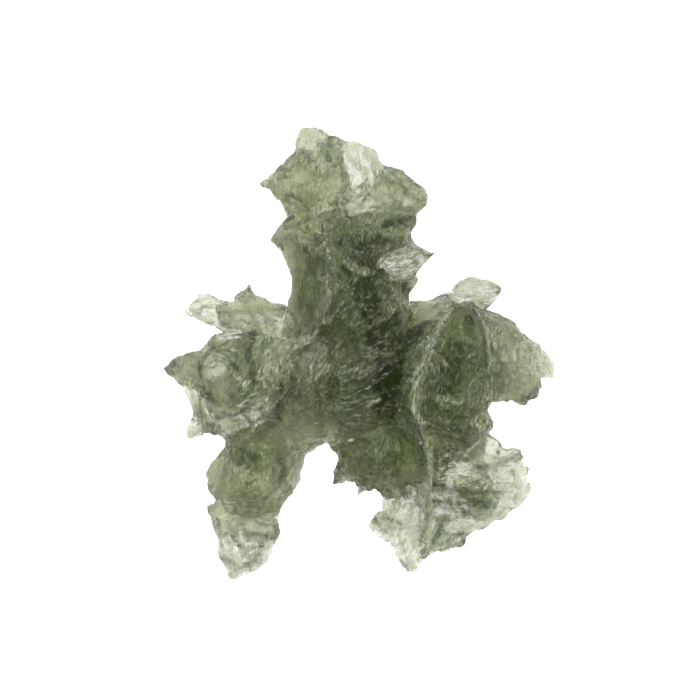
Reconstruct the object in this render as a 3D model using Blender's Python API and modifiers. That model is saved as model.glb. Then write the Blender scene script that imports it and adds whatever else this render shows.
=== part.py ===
"""A spiky, deeply etched moldavite: one piece of natural green glass, lying on its back.

The stone is worked in millimetres and scaled to metres in the last step. Z is up, the face that
shows is on top, and the floor is at Z = 0. It grows in the way that the real one is read: flat
lobes that reach out from a thick heart, sharp crests and spurs that stand on them, hollows that
the etching scooped out, and small pits and flutes over all of it.

Run it with: blender --background --python part.py
"""

import math

import bmesh
import bpy
import numpy as np
from mathutils import Matrix, Vector, noise
from mathutils.bvhtree import BVHTree

# Driving sizes, in millimetres
METRES = 0.001
FLOOR = 0.0
TRIANGLES = 9400
WELD = 1e-4

# Voxel sizes of the three fusing steps: one lobe or bite, the body, and the bitten skin
PIECE_VOXEL = 0.3
BODY_VOXEL = 0.28
SKIN_VOXEL = 0.2

# Lobes: the step along an outline, what fusing wears off a rim, and half the rim's thickness
ARC_STEP = 0.5
RIM_WEAR = 0.08
RIM_HALF = 0.34

# Crests and spurs are bent tubes: the steps between two points of the path, and in a quarter
# round. A spur keeps a share of its foot's radius at the tip, and narrows at this rate
PATH_STEPS = 5
ROUND_STEPS = 3
SPUR_TIP = 0.16
SPUR_FLARE = 1.7

# Strewn bites: how many, the ranges of their half length, depth, and width against length,
# how near two may be, the steepest skin they sit on, and the least stone left behind one
BITES = 110
BITE_SEED = 7
BITE_LENGTHS = (1.2, 2.8)
BITE_DEPTHS = (0.3, 0.6)
BITE_WIDTHS = (0.45, 0.7)
BITE_SPACING = 1.7
BITE_STEEPEST = 0.4
THINNEST = 1.5

# The middle of the stone, which the bites are drawn out from, and how fine its ball shapes are
HEART = Vector((0.5, -1.5, 7.5))
BALL_LEVELS = 3

# Feeling for the skin: how far out to look in plan and in height, the step between two feelers,
# and how far under the skin a look through the stone starts
SPREAD = 20.0
FAR = 50.0
SKIN_STEP = 0.25
JUST_INSIDE = 0.05

# How the bites are bent out of their regular shape: ripples for each millimetre, their reach,
# and where in the noise the push along X, Y and Z is read
SWIRL_SCALE = 0.55
SWIRL_REACH = 0.9
SWIRL_OFFSETS = (Vector((0.0, 0.0, 0.0)), Vector((31.4, 8.2, 17.1)), Vector((-9.7, 44.3, -26.8)))

# Weathering of the skin: low lumps in three sizes, each half the last, and round pits that
# reach to a share of their spacing
LUMP_SCALE = 0.9
LUMP_DEPTH = 0.08
LUMP_SIZES = 3
LUMP_FALL = 1.0
LUMP_GAP = 2.0
PIT_SCALE = 0.8
PIT_DEPTH = 0.16
PIT_REACH = 0.55

# Each lobe of the stone seen from above. A point is X, Y and how deep the edge is scooped in
# on its way to the next point: a positive scoop is hollow, and a negative one bulges.
CROWN = [
    (-4.9, 18.8, -0.1), (-4.2, 19.3, -0.1), (-3.5, 18.8, 0.1), (-1.2, 18.1, 0.0), (-0.3, 18.0, -0.1),
    (0.9, 17.3, 0.1), (2.0, 16.1, 0.1), (2.9, 15.7, 0.0), (3.9, 15.3, 0.0), (5.1, 14.2, -0.1),
    (5.8, 13.5, -0.1), (5.6, 12.7, 0.1), (4.8, 11.6, 0.1), (4.8, 9.2, 0.0), (-5.4, 9.4, 0.0),
    (-6.3, 11.8, 0.1), (-6.5, 12.6, 0.1), (-7.2, 13.5, 0.1), (-8.6, 14.3, 0.0), (-7.4, 15.4, 0.1),
    (-6.5, 16.1, 0.1), (-5.5, 17.2, 0.0), (-5.4, 17.9, 0.0),
]
NECK = [
    (-6.3, 11.4, 0.1), (-7.9, 9.7, 0.1), (-6.6, 8.7, 0.0), (-6.1, 7.4, 0.0), (-5.7, 6.7, 0.0),
    (-5.9, 5.6, 0.0), (-6.1, 4.2, 0.0), (-6.0, -2.0, 0.0), (4.6, -2.0, 0.0), (3.9, 2.8, 0.1),
    (4.2, 4.3, 0.0), (4.9, 6.5, 0.1), (4.0, 7.6, 0.1), (4.3, 9.4, 0.2), (5.0, 10.9, 0.1),
    (3.8, 12.0, 0.0), (1.6, 11.2, 0.2), (-2.4, 11.0, 0.0), (-4.8, 12.6, 0.0),
]
FLAKE = [
    (1.4, 7.6, -0.1), (2.2, 8.5, -0.1), (4.4, 9.3, -0.2), (6.5, 8.3, 0.1), (5.1, 7.1, 0.0),
    (4.6, 6.4, -0.1), (3.2, 5.9, -0.1), (1.8, 6.3, -0.1),
]
FLAP = [
    (-5.8, 3.6, -0.1), (-8.8, 5.0, 0.0), (-9.6, 5.9, 0.1), (-10.2, 4.7, 0.3), (-12.2, 4.5, 0.1),
    (-13.3, 5.1, -0.1), (-14.3, 4.3, -0.1), (-14.7, 3.3, 0.0), (-13.2, 2.4, 0.0), (-11.6, 2.0, 0.0),
    (-9.8, -2.0, 0.0), (-5.8, -2.0, 0.0),
]
CUP = [
    (-11.6, 2.4, 0.1), (-13.0, 0.5, 0.1), (-15.5, -0.6, -0.1), (-16.9, -1.4, -0.1), (-15.4, -2.5, 0.2),
    (-14.2, -4.9, 0.5), (-14.9, -7.6, 0.0), (-12.3, -6.7, -0.2), (-11.3, -7.8, 0.0), (-6.0, -8.0, 0.0),
    (-4.0, -2.0, 0.0), (-5.0, 1.6, 0.0),
]
LEG = [
    (-11.4, -7.4, 0.1), (-13.3, -10.3, 0.1), (-12.8, -12.1, -0.1), (-12.1, -12.7, 0.0),
    (-13.0, -13.3, 0.0), (-12.4, -15.0, 0.0), (-11.3, -18.6, 0.0), (-11.2, -19.3, -0.1),
    (-9.6, -18.8, 0.1), (-8.0, -18.1, -0.1), (-7.2, -16.0, 0.0), (-6.6, -15.5, 0.1),
    (-7.0, -13.9, 0.1), (-6.5, -12.6, 0.1), (-5.4, -11.9, 0.0), (-5.1, -10.2, 0.1),
    (-4.5, -8.5, 0.1), (-2.8, -7.5, 0.0), (-2.5, -4.0, 0.0), (-9.0, -2.5, 0.0),
]
KEEL = [
    (-2.9, -7.4, 0.0), (-1.8, -9.1, 0.1), (-2.4, -10.2, 0.0), (-2.4, -11.4, 0.1), (-0.6, -10.9, 0.1),
    (-0.3, -12.3, 0.2), (1.6, -11.6, 0.1), (3.4, -12.6, 0.0), (6.0, -11.0, 0.0), (6.0, -4.0, 0.0),
    (-2.5, -4.0, 0.0),
]
FOOT = [
    (1.8, -11.4, 0.0), (1.8, -13.0, 0.1), (0.6, -14.7, -0.2), (2.6, -15.8, 0.2), (3.2, -17.3, 0.1),
    (4.2, -18.9, -0.1), (5.1, -18.3, 0.1), (6.6, -17.0, 0.1), (8.6, -16.6, -0.1), (9.3, -15.5, 0.1),
    (10.3, -15.3, 0.1), (12.2, -14.1, -0.1), (13.9, -12.5, 0.0), (14.8, -11.4, 0.1), (14.1, -10.8, -0.1),
    (14.2, -9.8, -0.1), (13.4, -8.4, 0.0), (12.4, -8.2, 0.1), (11.0, -7.2, 0.0), (7.5, -5.5, 0.0),
    (2.5, -8.0, 0.0),
]
LEAF = [
    (11.1, -7.0, -0.2), (11.2, -5.8, 0.5), (12.0, -4.0, -0.1), (13.7, -4.4, 0.0), (15.4, -4.0, 0.2),
    (15.3, -2.6, 0.0), (15.4, 0.5, 0.0), (14.4, 1.1, 0.1), (13.6, 2.1, -0.2), (11.2, 3.5, -0.1),
    (10.0, 3.5, 0.1), (9.5, 4.6, 0.0), (7.9, 4.6, 0.1), (6.2, 2.2, 0.0), (4.3, -3.0, 0.0),
    (4.8, -8.0, 0.0), (8.5, -9.0, 0.0),
]
EAR = [
    (14.6, -2.4, 0.0), (16.4, -2.3, -0.1), (16.9, -1.4, -0.1), (15.9, 0.2, -0.1), (14.6, 0.6, 0.0),
    (13.0, -0.8, 0.0),
]
ARM = [
    (9.9, 3.3, -0.1), (11.6, 4.4, 0.0), (12.2, 5.1, -0.1), (10.7, 6.2, -0.2), (8.6, 6.0, 0.1),
    (6.7, 4.6, 0.0), (5.6, 4.7, 0.1), (4.2, 4.2, 0.0), (2.5, 1.0, 0.0), (6.0, -1.0, 0.0),
]

# name: outline, (X, Y, Z) of a point that its middle plane passes through, the plane's rise in
# Z for each millimetre of X and of Y, full thickness, how far in from the rim it gets there,
# and the power of that swelling
LOBES = {
    "crown": (CROWN, (-0.5, 14.5, 6.6), (0.05, -0.08), 4.4, 4.0, 0.40),
    "neck": (NECK, (-0.5, 5.0, 7.6), (0.0, 0.0), 9.6, 4.6, 0.60),
    "flake": (FLAKE, (3.0, 7.5, 11.8), (0.35, 0.05), 2.0, 1.6, 0.45),
    "flap": (FLAP, (-11.0, 3.0, 4.6), (0.10, -0.05), 3.0, 3.0, 0.40),
    "cup": (CUP, (-11.0, -2.5, 6.8), (0.06, 0.0), 5.4, 4.5, 0.55),
    "leg": (LEG, (-9.5, -12.0, 5.4), (0.0, 0.12), 4.4, 3.2, 0.50),
    "keel": (KEEL, (1.0, -9.0, 6.8), (0.0, 0.05), 7.4, 3.5, 0.55),
    "foot": (FOOT, (8.0, -13.0, 5.4), (-0.05, 0.14), 3.2, 3.2, 0.45),
    "leaf": (LEAF, (9.5, -1.0, 7.4), (-0.14, 0.0), 8.6, 5.0, 0.60),
    "ear": (EAR, (15.0, -1.0, 5.0), (-0.10, 0.0), 2.2, 2.0, 0.50),
    "arm": (ARM, (8.5, 4.0, 4.4), (-0.05, 0.0), 2.8, 2.5, 0.45),
}

# A point of a crest is X, Y, Z at its sharp top, and the size of the crest there against
# CREST_PROFILE
CRESTS = {
    "leaf fin": [
        (8.3, 4.3, 9.8, 0.3), (6.8, 2.3, 12.6, 0.8), (5.3, -0.4, 14.6, 1.0), (4.4, -3.6, 15.6, 1.1),
        (4.7, -6.4, 14.8, 1.0), (5.6, -8.8, 12.6, 0.8), (6.0, -11.6, 10.0, 0.6), (5.6, -14.4, 7.8, 0.4),
        (4.4, -17.8, 5.2, 0.14),
    ],
    "leaf rib": [
        (9.2, 4.2, 10.2, 0.3), (10.2, 2.6, 12.0, 0.6), (10.6, 0.4, 12.8, 0.8), (10.6, -2.0, 12.2, 0.7),
        (9.9, -5.0, 10.8, 0.45), (9.8, -7.4, 9.0, 0.25),
    ],
    "leaf saddle": [(4.9, -5.6, 13.4, 0.5), (7.4, -6.4, 12.2, 0.7), (10.4, -5.4, 10.4, 0.4)],
    "leaf vein": [(6.4, -1.4, 13.0, 0.4), (8.4, -3.4, 12.0, 0.5), (10.2, -3.8, 11.6, 0.3)],
    "leaf tip": [(12.4, -0.6, 8.6, 0.4), (14.0, -2.4, 8.4, 0.4), (15.2, -3.8, 8.2, 0.16)],
    "neck crest": [
        (-4.4, 12.0, 8.6, 0.3), (-2.6, 8.8, 11.8, 0.8), (-2.5, 6.4, 13.6, 1.0), (-2.9, 3.4, 14.2, 1.0),
        (-3.8, 1.4, 13.2, 0.8), (-5.4, 0.0, 10.8, 0.5),
    ],
    "neck branch": [
        (-2.8, 2.0, 13.6, 0.5), (-1.2, 3.7, 13.6, 0.6), (0.4, 5.8, 12.6, 0.4), (2.2, 7.2, 11.6, 0.3),
    ],
    "neck blade": [(4.6, 6.4, 8.8, 0.12), (3.9, 4.5, 9.6, 0.24), (3.4, 2.0, 9.8, 0.3)],
    "neck ledge": [(2.2, 12.0, 8.6, 0.2), (3.5, 11.4, 9.2, 0.25), (4.7, 10.9, 8.0, 0.12)],
    "neck step": [(-2.0, 9.6, 11.0, 0.4), (0.4, 9.0, 11.8, 0.5), (2.8, 9.8, 10.6, 0.3)],
    "flake rim": [
        (1.8, 8.0, 12.4, 0.12), (3.8, 8.7, 13.3, 0.18), (5.2, 8.5, 13.7, 0.14), (6.2, 8.2, 13.4, 0.08),
    ],
    "crown rim": [
        (-7.6, 14.5, 6.4, 0.12), (-5.8, 16.0, 6.8, 0.2), (-4.1, 18.3, 6.8, 0.25), (-1.5, 17.2, 7.2, 0.25),
        (1.7, 15.2, 7.6, 0.28), (4.8, 13.2, 7.2, 0.15),
    ],
    "crown brow": [
        (-7.6, 13.8, 7.0, 0.2), (-5.2, 13.2, 8.4, 0.4), (-4.4, 11.0, 9.4, 0.5), (-5.2, 9.0, 9.4, 0.3),
    ],
    "crown fold": [(-3.4, 17.6, 7.2, 0.2), (-2.2, 15.8, 8.0, 0.3), (-3.0, 13.6, 8.4, 0.3)],
    "crown vein": [(2.0, 12.4, 8.6, 0.2), (2.6, 13.6, 8.2, 0.25), (2.4, 15.0, 7.8, 0.2)],
    "heart ridge": [
        (-3.6, -5.2, 12.4, 0.5), (-0.9, -3.7, 13.6, 0.8), (1.4, -2.4, 13.8, 0.7),
        (3.0, -1.2, 12.8, 0.3),
    ],
    "heart step": [(-2.4, 0.2, 12.8, 0.4), (0.2, -0.4, 13.4, 0.6), (2.4, 1.0, 12.4, 0.3)],
    "heart vein": [(-2.0, -6.4, 11.6, 0.4), (0.4, -5.6, 12.6, 0.5), (2.8, -4.4, 12.8, 0.4)],
    "shoulder rib": [
        (-5.4, 1.0, 10.6, 0.4), (-6.5, -1.6, 11.6, 0.7), (-7.8, -3.8, 11.0, 0.6),
        (-10.4, -5.0, 9.0, 0.3),
    ],
    "shoulder spine": [
        (-4.8, -1.6, 11.8, 0.4), (-6.6, -3.8, 12.4, 0.8), (-8.6, -5.4, 11.4, 0.6),
        (-11.8, -6.4, 8.8, 0.26), (-14.4, -7.2, 6.6, 0.12),
    ],
    "cup rib": [(-8.0, 1.6, 9.2, 0.4), (-9.1, -1.2, 10.0, 0.6), (-10.4, -3.8, 9.0, 0.4)],
    "cup brow": [
        (-16.2, -1.5, 6.6, 0.12), (-14.2, -0.9, 8.4, 0.28), (-12.4, 0.0, 9.4, 0.3),
        (-10.6, 1.2, 9.2, 0.25),
    ],
    "cup lip": [
        (-16.0, -1.7, 6.6, 0.12), (-13.8, -3.2, 8.0, 0.24), (-13.1, -5.2, 8.0, 0.25),
        (-14.5, -7.2, 6.4, 0.12),
    ],
    "leg crest": [
        (-9.0, -7.2, 9.0, 0.4), (-9.8, -10.2, 8.2, 0.6), (-10.2, -13.6, 7.0, 0.4),
        (-10.0, -17.2, 5.4, 0.2),
    ],
    "leg flange": [
        (-4.6, -6.6, 9.0, 0.3), (-6.3, -9.2, 8.6, 0.4), (-7.5, -11.6, 7.6, 0.35),
        (-8.0, -14.2, 6.4, 0.2),
    ],
    "leg rib": [(-10.6, -7.6, 8.2, 0.3), (-11.6, -9.8, 7.4, 0.3), (-12.1, -12.0, 6.4, 0.16)],
    "keel rib": [(-1.6, -6.8, 11.4, 0.4), (-0.4, -9.2, 10.4, 0.4), (-0.2, -11.6, 8.0, 0.14)],
    "keel spine": [(1.8, -6.6, 11.6, 0.5), (2.4, -9.4, 10.8, 0.5), (3.4, -12.2, 8.4, 0.3)],
    "foot ridge": [
        (6.0, -11.8, 8.8, 0.4), (7.8, -13.0, 8.4, 0.5), (10.0, -13.9, 7.2, 0.35),
        (11.8, -13.6, 6.2, 0.15),
    ],
    "foot brow": [
        (7.6, -10.4, 9.0, 0.4), (10.2, -11.5, 8.8, 0.5), (12.4, -11.2, 7.8, 0.35),
        (14.2, -11.4, 6.0, 0.12),
    ],
    "foot rib": [(3.2, -12.2, 8.0, 0.25), (2.8, -13.8, 7.0, 0.28), (1.2, -14.7, 5.8, 0.12)],
    "foot vein": [(7.2, -14.2, 7.0, 0.2), (8.0, -15.4, 6.2, 0.2), (8.6, -16.2, 5.6, 0.1)],
    "flap rib": [
        (-6.0, 2.4, 6.8, 0.4), (-8.6, 3.6, 6.2, 0.4), (-11.6, 3.4, 5.6, 0.3), (-13.8, 3.8, 5.0, 0.14),
    ],
    "arm rib": [(4.6, 3.4, 5.8, 0.3), (7.6, 4.6, 5.8, 0.3), (11.2, 5.2, 5.2, 0.14)],
}

# How far a full-size crest is below its top, and its half width there
CREST_PROFILE = [(0.0, 0.12), (1.0, 0.38), (2.2, 0.75), (3.6, 1.4), (5.0, 2.5), (6.0, 2.8)]

# Spurs: the points that one runs through, from its foot to its tip, and its radius at the foot.
# The first three end in the worn flats that the stone lies on.
SPURS = [
    ([(-1.0, 8.6, 6.0), (-1.2, 9.6, 3.4), (-1.4, 10.4, 1.4), (-1.4, 10.6, -1.2)], 3.8),
    ([(-8.8, -11.4, 4.8), (-9.3, -12.2, 2.8), (-9.6, -12.7, 1.1), (-9.7, -12.8, -1.2)], 3.0),
    ([(7.6, -10.4, 4.6), (8.6, -11.4, 2.6), (9.3, -12.0, 1.0), (9.5, -12.1, -1.2)], 3.4),
    ([(1.0, 3.6, 5.0), (1.6, 4.6, 2.6), (2.2, 5.6, 1.0)], 3.6),
    ([(-8.4, -2.0, 5.4), (-10.2, -2.6, 3.0), (-11.6, -2.6, 1.8)], 3.0),
    ([(1.6, -3.2, 5.0), (2.4, -4.4, 2.2), (2.8, -5.4, 0.7)], 4.0),
    ([(8.0, -2.0, 5.6), (9.6, -1.4, 3.0), (10.6, -0.4, 1.5)], 3.6),
    ([(-3.6, -4.0, 5.0), (-4.4, -5.6, 2.4), (-4.8, -7.0, 1.2)], 3.2),
    ([(0.8, -7.6, 5.0), (0.8, -9.2, 2.8), (0.6, -10.4, 1.8)], 2.8),
    ([(-1.4, 0.6, 5.0), (-2.8, 0.8, 2.4), (-3.8, 1.4, 1.0)], 3.2),
    ([(11.6, -2.0, 6.4), (13.4, -2.6, 4.6), (14.8, -3.0, 3.6)], 1.8),
    ([(5.0, -6.0, 5.0), (6.4, -7.2, 2.6), (7.4, -7.6, 1.4)], 3.2),
    ([(1.8, 10.6, 7.0), (3.2, 11.6, 4.8), (4.2, 12.2, 3.8)], 2.0),
    ([(-4.4, 9.4, 7.6), (-6.2, 10.2, 5.4), (-7.2, 10.4, 4.6)], 2.0),
    ([(5.2, 0.6, 5.6), (6.0, 1.8, 3.4), (6.6, 2.6, 2.2)], 2.8),
    ([(-6.4, 14.2, 5.6), (-7.0, 14.6, 4.2), (-7.6, 14.8, 3.4)], 1.4),
]

# Round lumps that thicken the heart of the stone: the middle and the three radii
LUMPS = [
    ((0.4, -2.2, 7.4), (5.6, 5.6, 5.6)), ((-4.6, -3.6, 7.0), (4.6, 4.0, 3.6)),
    ((0.0, 3.0, 8.0), (4.4, 5.0, 4.6)), ((7.4, -3.0, 7.4), (4.6, 5.4, 4.6)),
    ((1.6, -7.4, 7.0), (4.0, 3.6, 4.2)), ((6.6, -8.6, 6.2), (3.6, 3.4, 3.6)),
]

# Hollows that were etched into the face: the middle and the three radii of the bite
FACE_BITES = [
    ((8.2, -2.0, 14.6), (2.5, 3.6, 4.6)), ((8.0, -8.6, 13.4), (2.4, 2.2, 4.6)),
    ((1.8, -5.4, 15.6), (2.6, 2.0, 4.4)), ((2.6, 0.9, 15.6), (2.2, 1.6, 4.0)),
    ((-11.8, -1.6, 11.0), (2.6, 2.2, 4.2)), ((-12.4, -4.9, 10.0), (1.5, 1.6, 3.6)),
    ((-0.6, 14.6, 10.6), (3.4, 2.0, 3.6)), ((3.2, 13.2, 10.4), (1.8, 1.6, 3.2)),
    ((-5.4, 15.2, 10.6), (2.2, 1.8, 3.8)), ((-5.0, 5.6, 13.6), (2.0, 4.6, 4.6)),
    ((1.6, 5.0, 15.4), (2.8, 2.6, 4.6)), ((1.4, 9.8, 14.0), (2.8, 1.8, 4.4)),
    ((-1.9, -7.0, 14.4), (2.2, 1.7, 4.6)), ((0.7, -10.2, 13.0), (1.0, 1.8, 4.4)),
    ((-8.0, -9.6, 12.0), (1.3, 2.4, 4.2)), ((-9.2, -15.6, 9.4), (2.0, 2.5, 4.0)),
    ((13.0, 0.4, 11.6), (2.0, 2.0, 4.2)), ((12.9, -6.4, 10.5), (2.0, 2.2, 4.0)),
    ((8.2, -15.4, 9.6), (1.8, 1.3, 3.8)), ((11.4, -9.6, 11.6), (1.6, 1.5, 4.4)),
    ((3.6, -14.6, 9.8), (1.3, 1.9, 4.0)), ((12.9, -13.2, 8.8), (1.6, 1.0, 3.6)),
    ((-11.8, 3.4, 8.6), (1.8, 1.1, 3.0)), ((-7.6, 2.8, 9.0), (1.4, 1.4, 3.0)),
    ((-8.0, -0.4, 14.0), (0.9, 1.5, 4.6)), ((-12.2, -14.9, 9.0), (1.0, 1.9, 3.6)),
    ((6.9, -4.2, 16.5), (1.7, 1.7, 4.8)),
]


def clear_scene():
    """Removes what Blender opens with."""
    for obj in list(bpy.data.objects):
        bpy.data.objects.remove(obj)


def scalloped(outline):
    """The closed outline as points: each pair is joined by an arc that is scooped by its third value."""
    area = sum(a[0] * b[1] - b[0] * a[1] for a, b in zip(outline, outline[1:] + outline[:1]))
    inward = 1.0 if area > 0 else -1.0
    points = []
    for (x0, y0, scoop), (x1, y1, _) in zip(outline, outline[1:] + outline[:1]):
        along = Vector((x1 - x0, y1 - y0))
        across = Vector((-along.y, along.x)).normalized() * inward
        steps = max(1, round(along.length / ARC_STEP))
        for step in range(steps):
            share = step / steps
            bow = 4.0 * scoop * share * (1.0 - share)
            points.append(Vector((x0, y0)) + along * share + across * bow)
    return points


def to_mesh(obj):
    """The object's evaluated mesh in world space, as a new mesh. The object is removed."""
    graph = bpy.context.evaluated_depsgraph_get()
    mesh = bpy.data.meshes.new_from_object(obj.evaluated_get(graph))
    mesh.transform(obj.matrix_world)
    bpy.data.objects.remove(obj)
    return mesh


def link(name, data):
    obj = bpy.data.objects.new(name, data)
    bpy.context.scene.collection.objects.link(obj)
    return obj


def remeshed(mesh, voxel):
    """The mesh fused into one skin of even quads."""
    obj = link("fusing", mesh)
    fuse = obj.modifiers.new("fuse", "REMESH")
    fuse.mode = "VOXEL"
    fuse.voxel_size = voxel
    return to_mesh(obj)


def weld(mesh):
    shape = bmesh.new()
    shape.from_mesh(mesh)
    bmesh.ops.remove_doubles(shape, verts=shape.verts, dist=WELD)
    shape.to_mesh(mesh)
    shape.free()


def coords(mesh):
    values = np.empty(len(mesh.vertices) * 3, np.float32)
    mesh.vertices.foreach_get("co", values)
    return values.reshape(-1, 3).astype(float)


def set_coords(mesh, values):
    mesh.vertices.foreach_set("co", values.astype(np.float32).ravel())
    mesh.update()


def rim_distance(points, rim):
    """How far each point is from the outline, in plan."""
    start = np.array([(p.x, p.y) for p in rim])
    step = np.roll(start, -1, axis=0) - start
    least = np.full(len(points), np.inf)
    for origin, run in zip(start, step):
        offset = points[:, :2] - origin
        share = np.clip(offset @ run / max(run @ run, 1e-9), 0.0, 1.0)
        least = np.minimum(least, np.hypot(*(offset - share[:, None] * run).T))
    return least


def lobe(name, outline, middle, slope, thickness, reach, power):
    """One flat lobe: a slab of the outline's shape, thin at the rim and swelling inwards."""
    rim = scalloped(outline)
    curve = bpy.data.curves.new(name, "CURVE")
    curve.dimensions = "2D"
    curve.fill_mode = "BOTH"
    curve.extrude = 1.0
    curve.offset = RIM_WEAR
    spline = curve.splines.new("POLY")
    spline.points.add(len(rim) - 1)
    for point, place in zip(spline.points, rim):
        point.co = (place.x, place.y, 0.0, 1.0)
    spline.use_cyclic_u = True
    flat = to_mesh(link(name, curve))
    weld(flat)
    mesh = remeshed(flat, PIECE_VOXEL)
    place = coords(mesh)
    inset = np.clip(rim_distance(place, rim) / reach, 0.0, 1.0)
    half = RIM_HALF + (thickness / 2.0 - RIM_HALF) * inset**power
    middle_z = middle[2] + slope[0] * (place[:, 0] - middle[0]) + slope[1] * (place[:, 1] - middle[1])
    place[:, 2] = middle_z + place[:, 2] * half
    set_coords(mesh, place)
    return mesh


def crest_profile():
    """The cross-section of a crest: a narrow top, hollow flanks and a wide foot."""
    profile = bpy.data.curves.new("crest profile", "CURVE")
    profile.dimensions = "2D"
    side = [(half, -down) for down, half in CREST_PROFILE]
    ring = side + [(-half, level) for half, level in reversed(side)]
    spline = profile.splines.new("POLY")
    spline.points.add(len(ring) - 1)
    for point, (across, level) in zip(spline.points, ring):
        point.co = (across, level, 0.0, 1.0)
    spline.use_cyclic_u = True
    return link("crest profile", profile)


def crest(name, path, profile):
    """One sharp crest: the profile swept along its path, smaller towards both ends."""
    curve = bpy.data.curves.new(name, "CURVE")
    curve.dimensions = "3D"
    curve.twist_mode = "Z_UP"
    curve.resolution_u = PATH_STEPS
    curve.bevel_mode = "OBJECT"
    curve.bevel_object = profile
    curve.use_fill_caps = True
    spline = curve.splines.new("BEZIER")
    spline.bezier_points.add(len(path) - 1)
    for point, (x, y, z, size) in zip(spline.bezier_points, path):
        point.co = (x, y, z)
        point.handle_left_type = point.handle_right_type = "AUTO"
        point.radius = size
    mesh = to_mesh(link(name, curve))
    weld(mesh)
    return mesh


def spur(path, radius):
    """One spike along its path: a wide foot that narrows quickly, then a slender tip."""
    curve = bpy.data.curves.new("spur", "CURVE")
    curve.dimensions = "3D"
    curve.resolution_u = PATH_STEPS
    curve.bevel_depth = radius
    curve.bevel_resolution = ROUND_STEPS
    curve.use_fill_caps = True
    spline = curve.splines.new("BEZIER")
    spline.bezier_points.add(len(path) - 1)
    for index, (point, place) in enumerate(zip(spline.bezier_points, path)):
        point.co = place
        point.handle_left_type = point.handle_right_type = "AUTO"
        point.radius = SPUR_TIP + (1.0 - SPUR_TIP) * (1.0 - index / (len(path) - 1)) ** SPUR_FLARE
    mesh = to_mesh(link("spur", curve))
    weld(mesh)
    return mesh


def ball(middle, radii, turn=Matrix.Identity(4)):
    """An ellipsoid."""
    place = Matrix.Translation(middle) @ turn @ Matrix.Diagonal((*radii, 1.0))
    round_shape = bmesh.new()
    bmesh.ops.create_icosphere(round_shape, subdivisions=BALL_LEVELS, radius=1.0, matrix=place)
    return from_bmesh(round_shape)


def from_bmesh(shape):
    mesh = bpy.data.meshes.new("piece")
    shape.to_mesh(mesh)
    shape.free()
    return mesh


def joined(meshes):
    """All the meshes in one, still overlapping."""
    whole = bmesh.new()
    for mesh in meshes:
        whole.from_mesh(mesh)
        bpy.data.meshes.remove(mesh)
    return from_bmesh(whole)


def skin_at(tree, x, y, side):
    """The skin's place and its own direction there, looking straight down (side 1) or up (side -1)."""
    down = Vector((0.0, 0.0, -side))
    hits = []
    for dx, dy in ((0.0, 0.0), (SKIN_STEP, 0.0), (0.0, SKIN_STEP)):
        hit = tree.ray_cast(Vector((x + dx, y + dy, side * FAR)), down)[0]
        if hit is None:
            return None
        hits.append(hit)
    out = (hits[1] - hits[0]).cross(hits[2] - hits[0]).normalized() * side
    return hits[0], out


def thickness_at(tree, place, out):
    """How much stone there is straight in from a point of the skin."""
    _, _, _, distance = tree.ray_cast(place - out * JUST_INSIDE, -out)
    return distance or 0.0


def strewn_bites(mesh):
    """Long hollows all over both faces, each one drawn out from the heart of the stone."""
    rng = np.random.default_rng(BITE_SEED)
    surface = bmesh.new()
    surface.from_mesh(mesh)
    tree = BVHTree.FromBMesh(surface)
    surface.free()
    taken = []
    bites = []
    while len(bites) < BITES:
        x = rng.uniform(-SPREAD, SPREAD)
        y = rng.uniform(-SPREAD, SPREAD)
        side = rng.choice((-1, 1))
        length = rng.uniform(*BITE_LENGTHS)
        depth = rng.uniform(*BITE_DEPTHS)
        slim = rng.uniform(*BITE_WIDTHS)
        found = skin_at(tree, x, y, side)
        if found is None:
            continue
        place, out = found
        crowded = any((place - other).length < BITE_SPACING for other in taken)
        if crowded or abs(out.z) < BITE_STEEPEST or thickness_at(tree, place, out) < THINNEST + depth:
            continue
        taken.append(place)
        width = length * slim
        away = (place - HEART).normalized()
        along = (away - out * away.dot(out)).normalized()
        turn = Matrix((along, out.cross(along), out)).transposed().to_4x4()
        bites.append(ball(place + out * (width - depth), (length, width, width), turn))
    return bites


def swirl(point):
    """A gentle push to one side that changes from place to place."""
    spot = Vector(point) * SWIRL_SCALE
    return [noise.noise(spot + offset) * SWIRL_REACH for offset in SWIRL_OFFSETS]


def bitten(mesh, bites):
    """The mesh with the bites cut out of it."""
    stone = link("bitten", mesh)
    hollows = remeshed(joined(bites), PIECE_VOXEL)
    place = coords(hollows)
    set_coords(hollows, place + np.array([swirl(point) for point in place]))
    cutter = link("bites", remeshed(hollows, PIECE_VOXEL))
    cut = stone.modifiers.new("bite", "BOOLEAN")
    cut.operation = "DIFFERENCE"
    cut.solver = "EXACT"
    cut.object = cutter
    result = to_mesh(stone)
    bpy.data.objects.remove(cutter)
    return result


def largest_piece(mesh):
    """The mesh without any crumb that the bites cut loose."""
    shape = bmesh.new()
    shape.from_mesh(mesh)
    unseen = set(shape.verts)
    pieces = []
    while unseen:
        piece = {unseen.pop()}
        edge = list(piece)
        while edge:
            near = [e.other_vert(v) for v in edge for e in v.link_edges]
            edge = [v for v in set(near) if v in unseen]
            unseen.difference_update(edge)
            piece.update(edge)
        pieces.append(piece)
    keep = max(pieces, key=len)
    print("points in each loose piece, of which only the largest stays:", sorted(map(len, pieces)))
    bmesh.ops.delete(shape, geom=[v for v in shape.verts if v not in keep], context="VERTS")
    return from_bmesh(shape)


def normals(mesh):
    values = np.empty(len(mesh.vertices) * 3, np.float32)
    mesh.vertices.foreach_get("normal", values)
    return values.reshape(-1, 3).astype(float)


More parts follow.
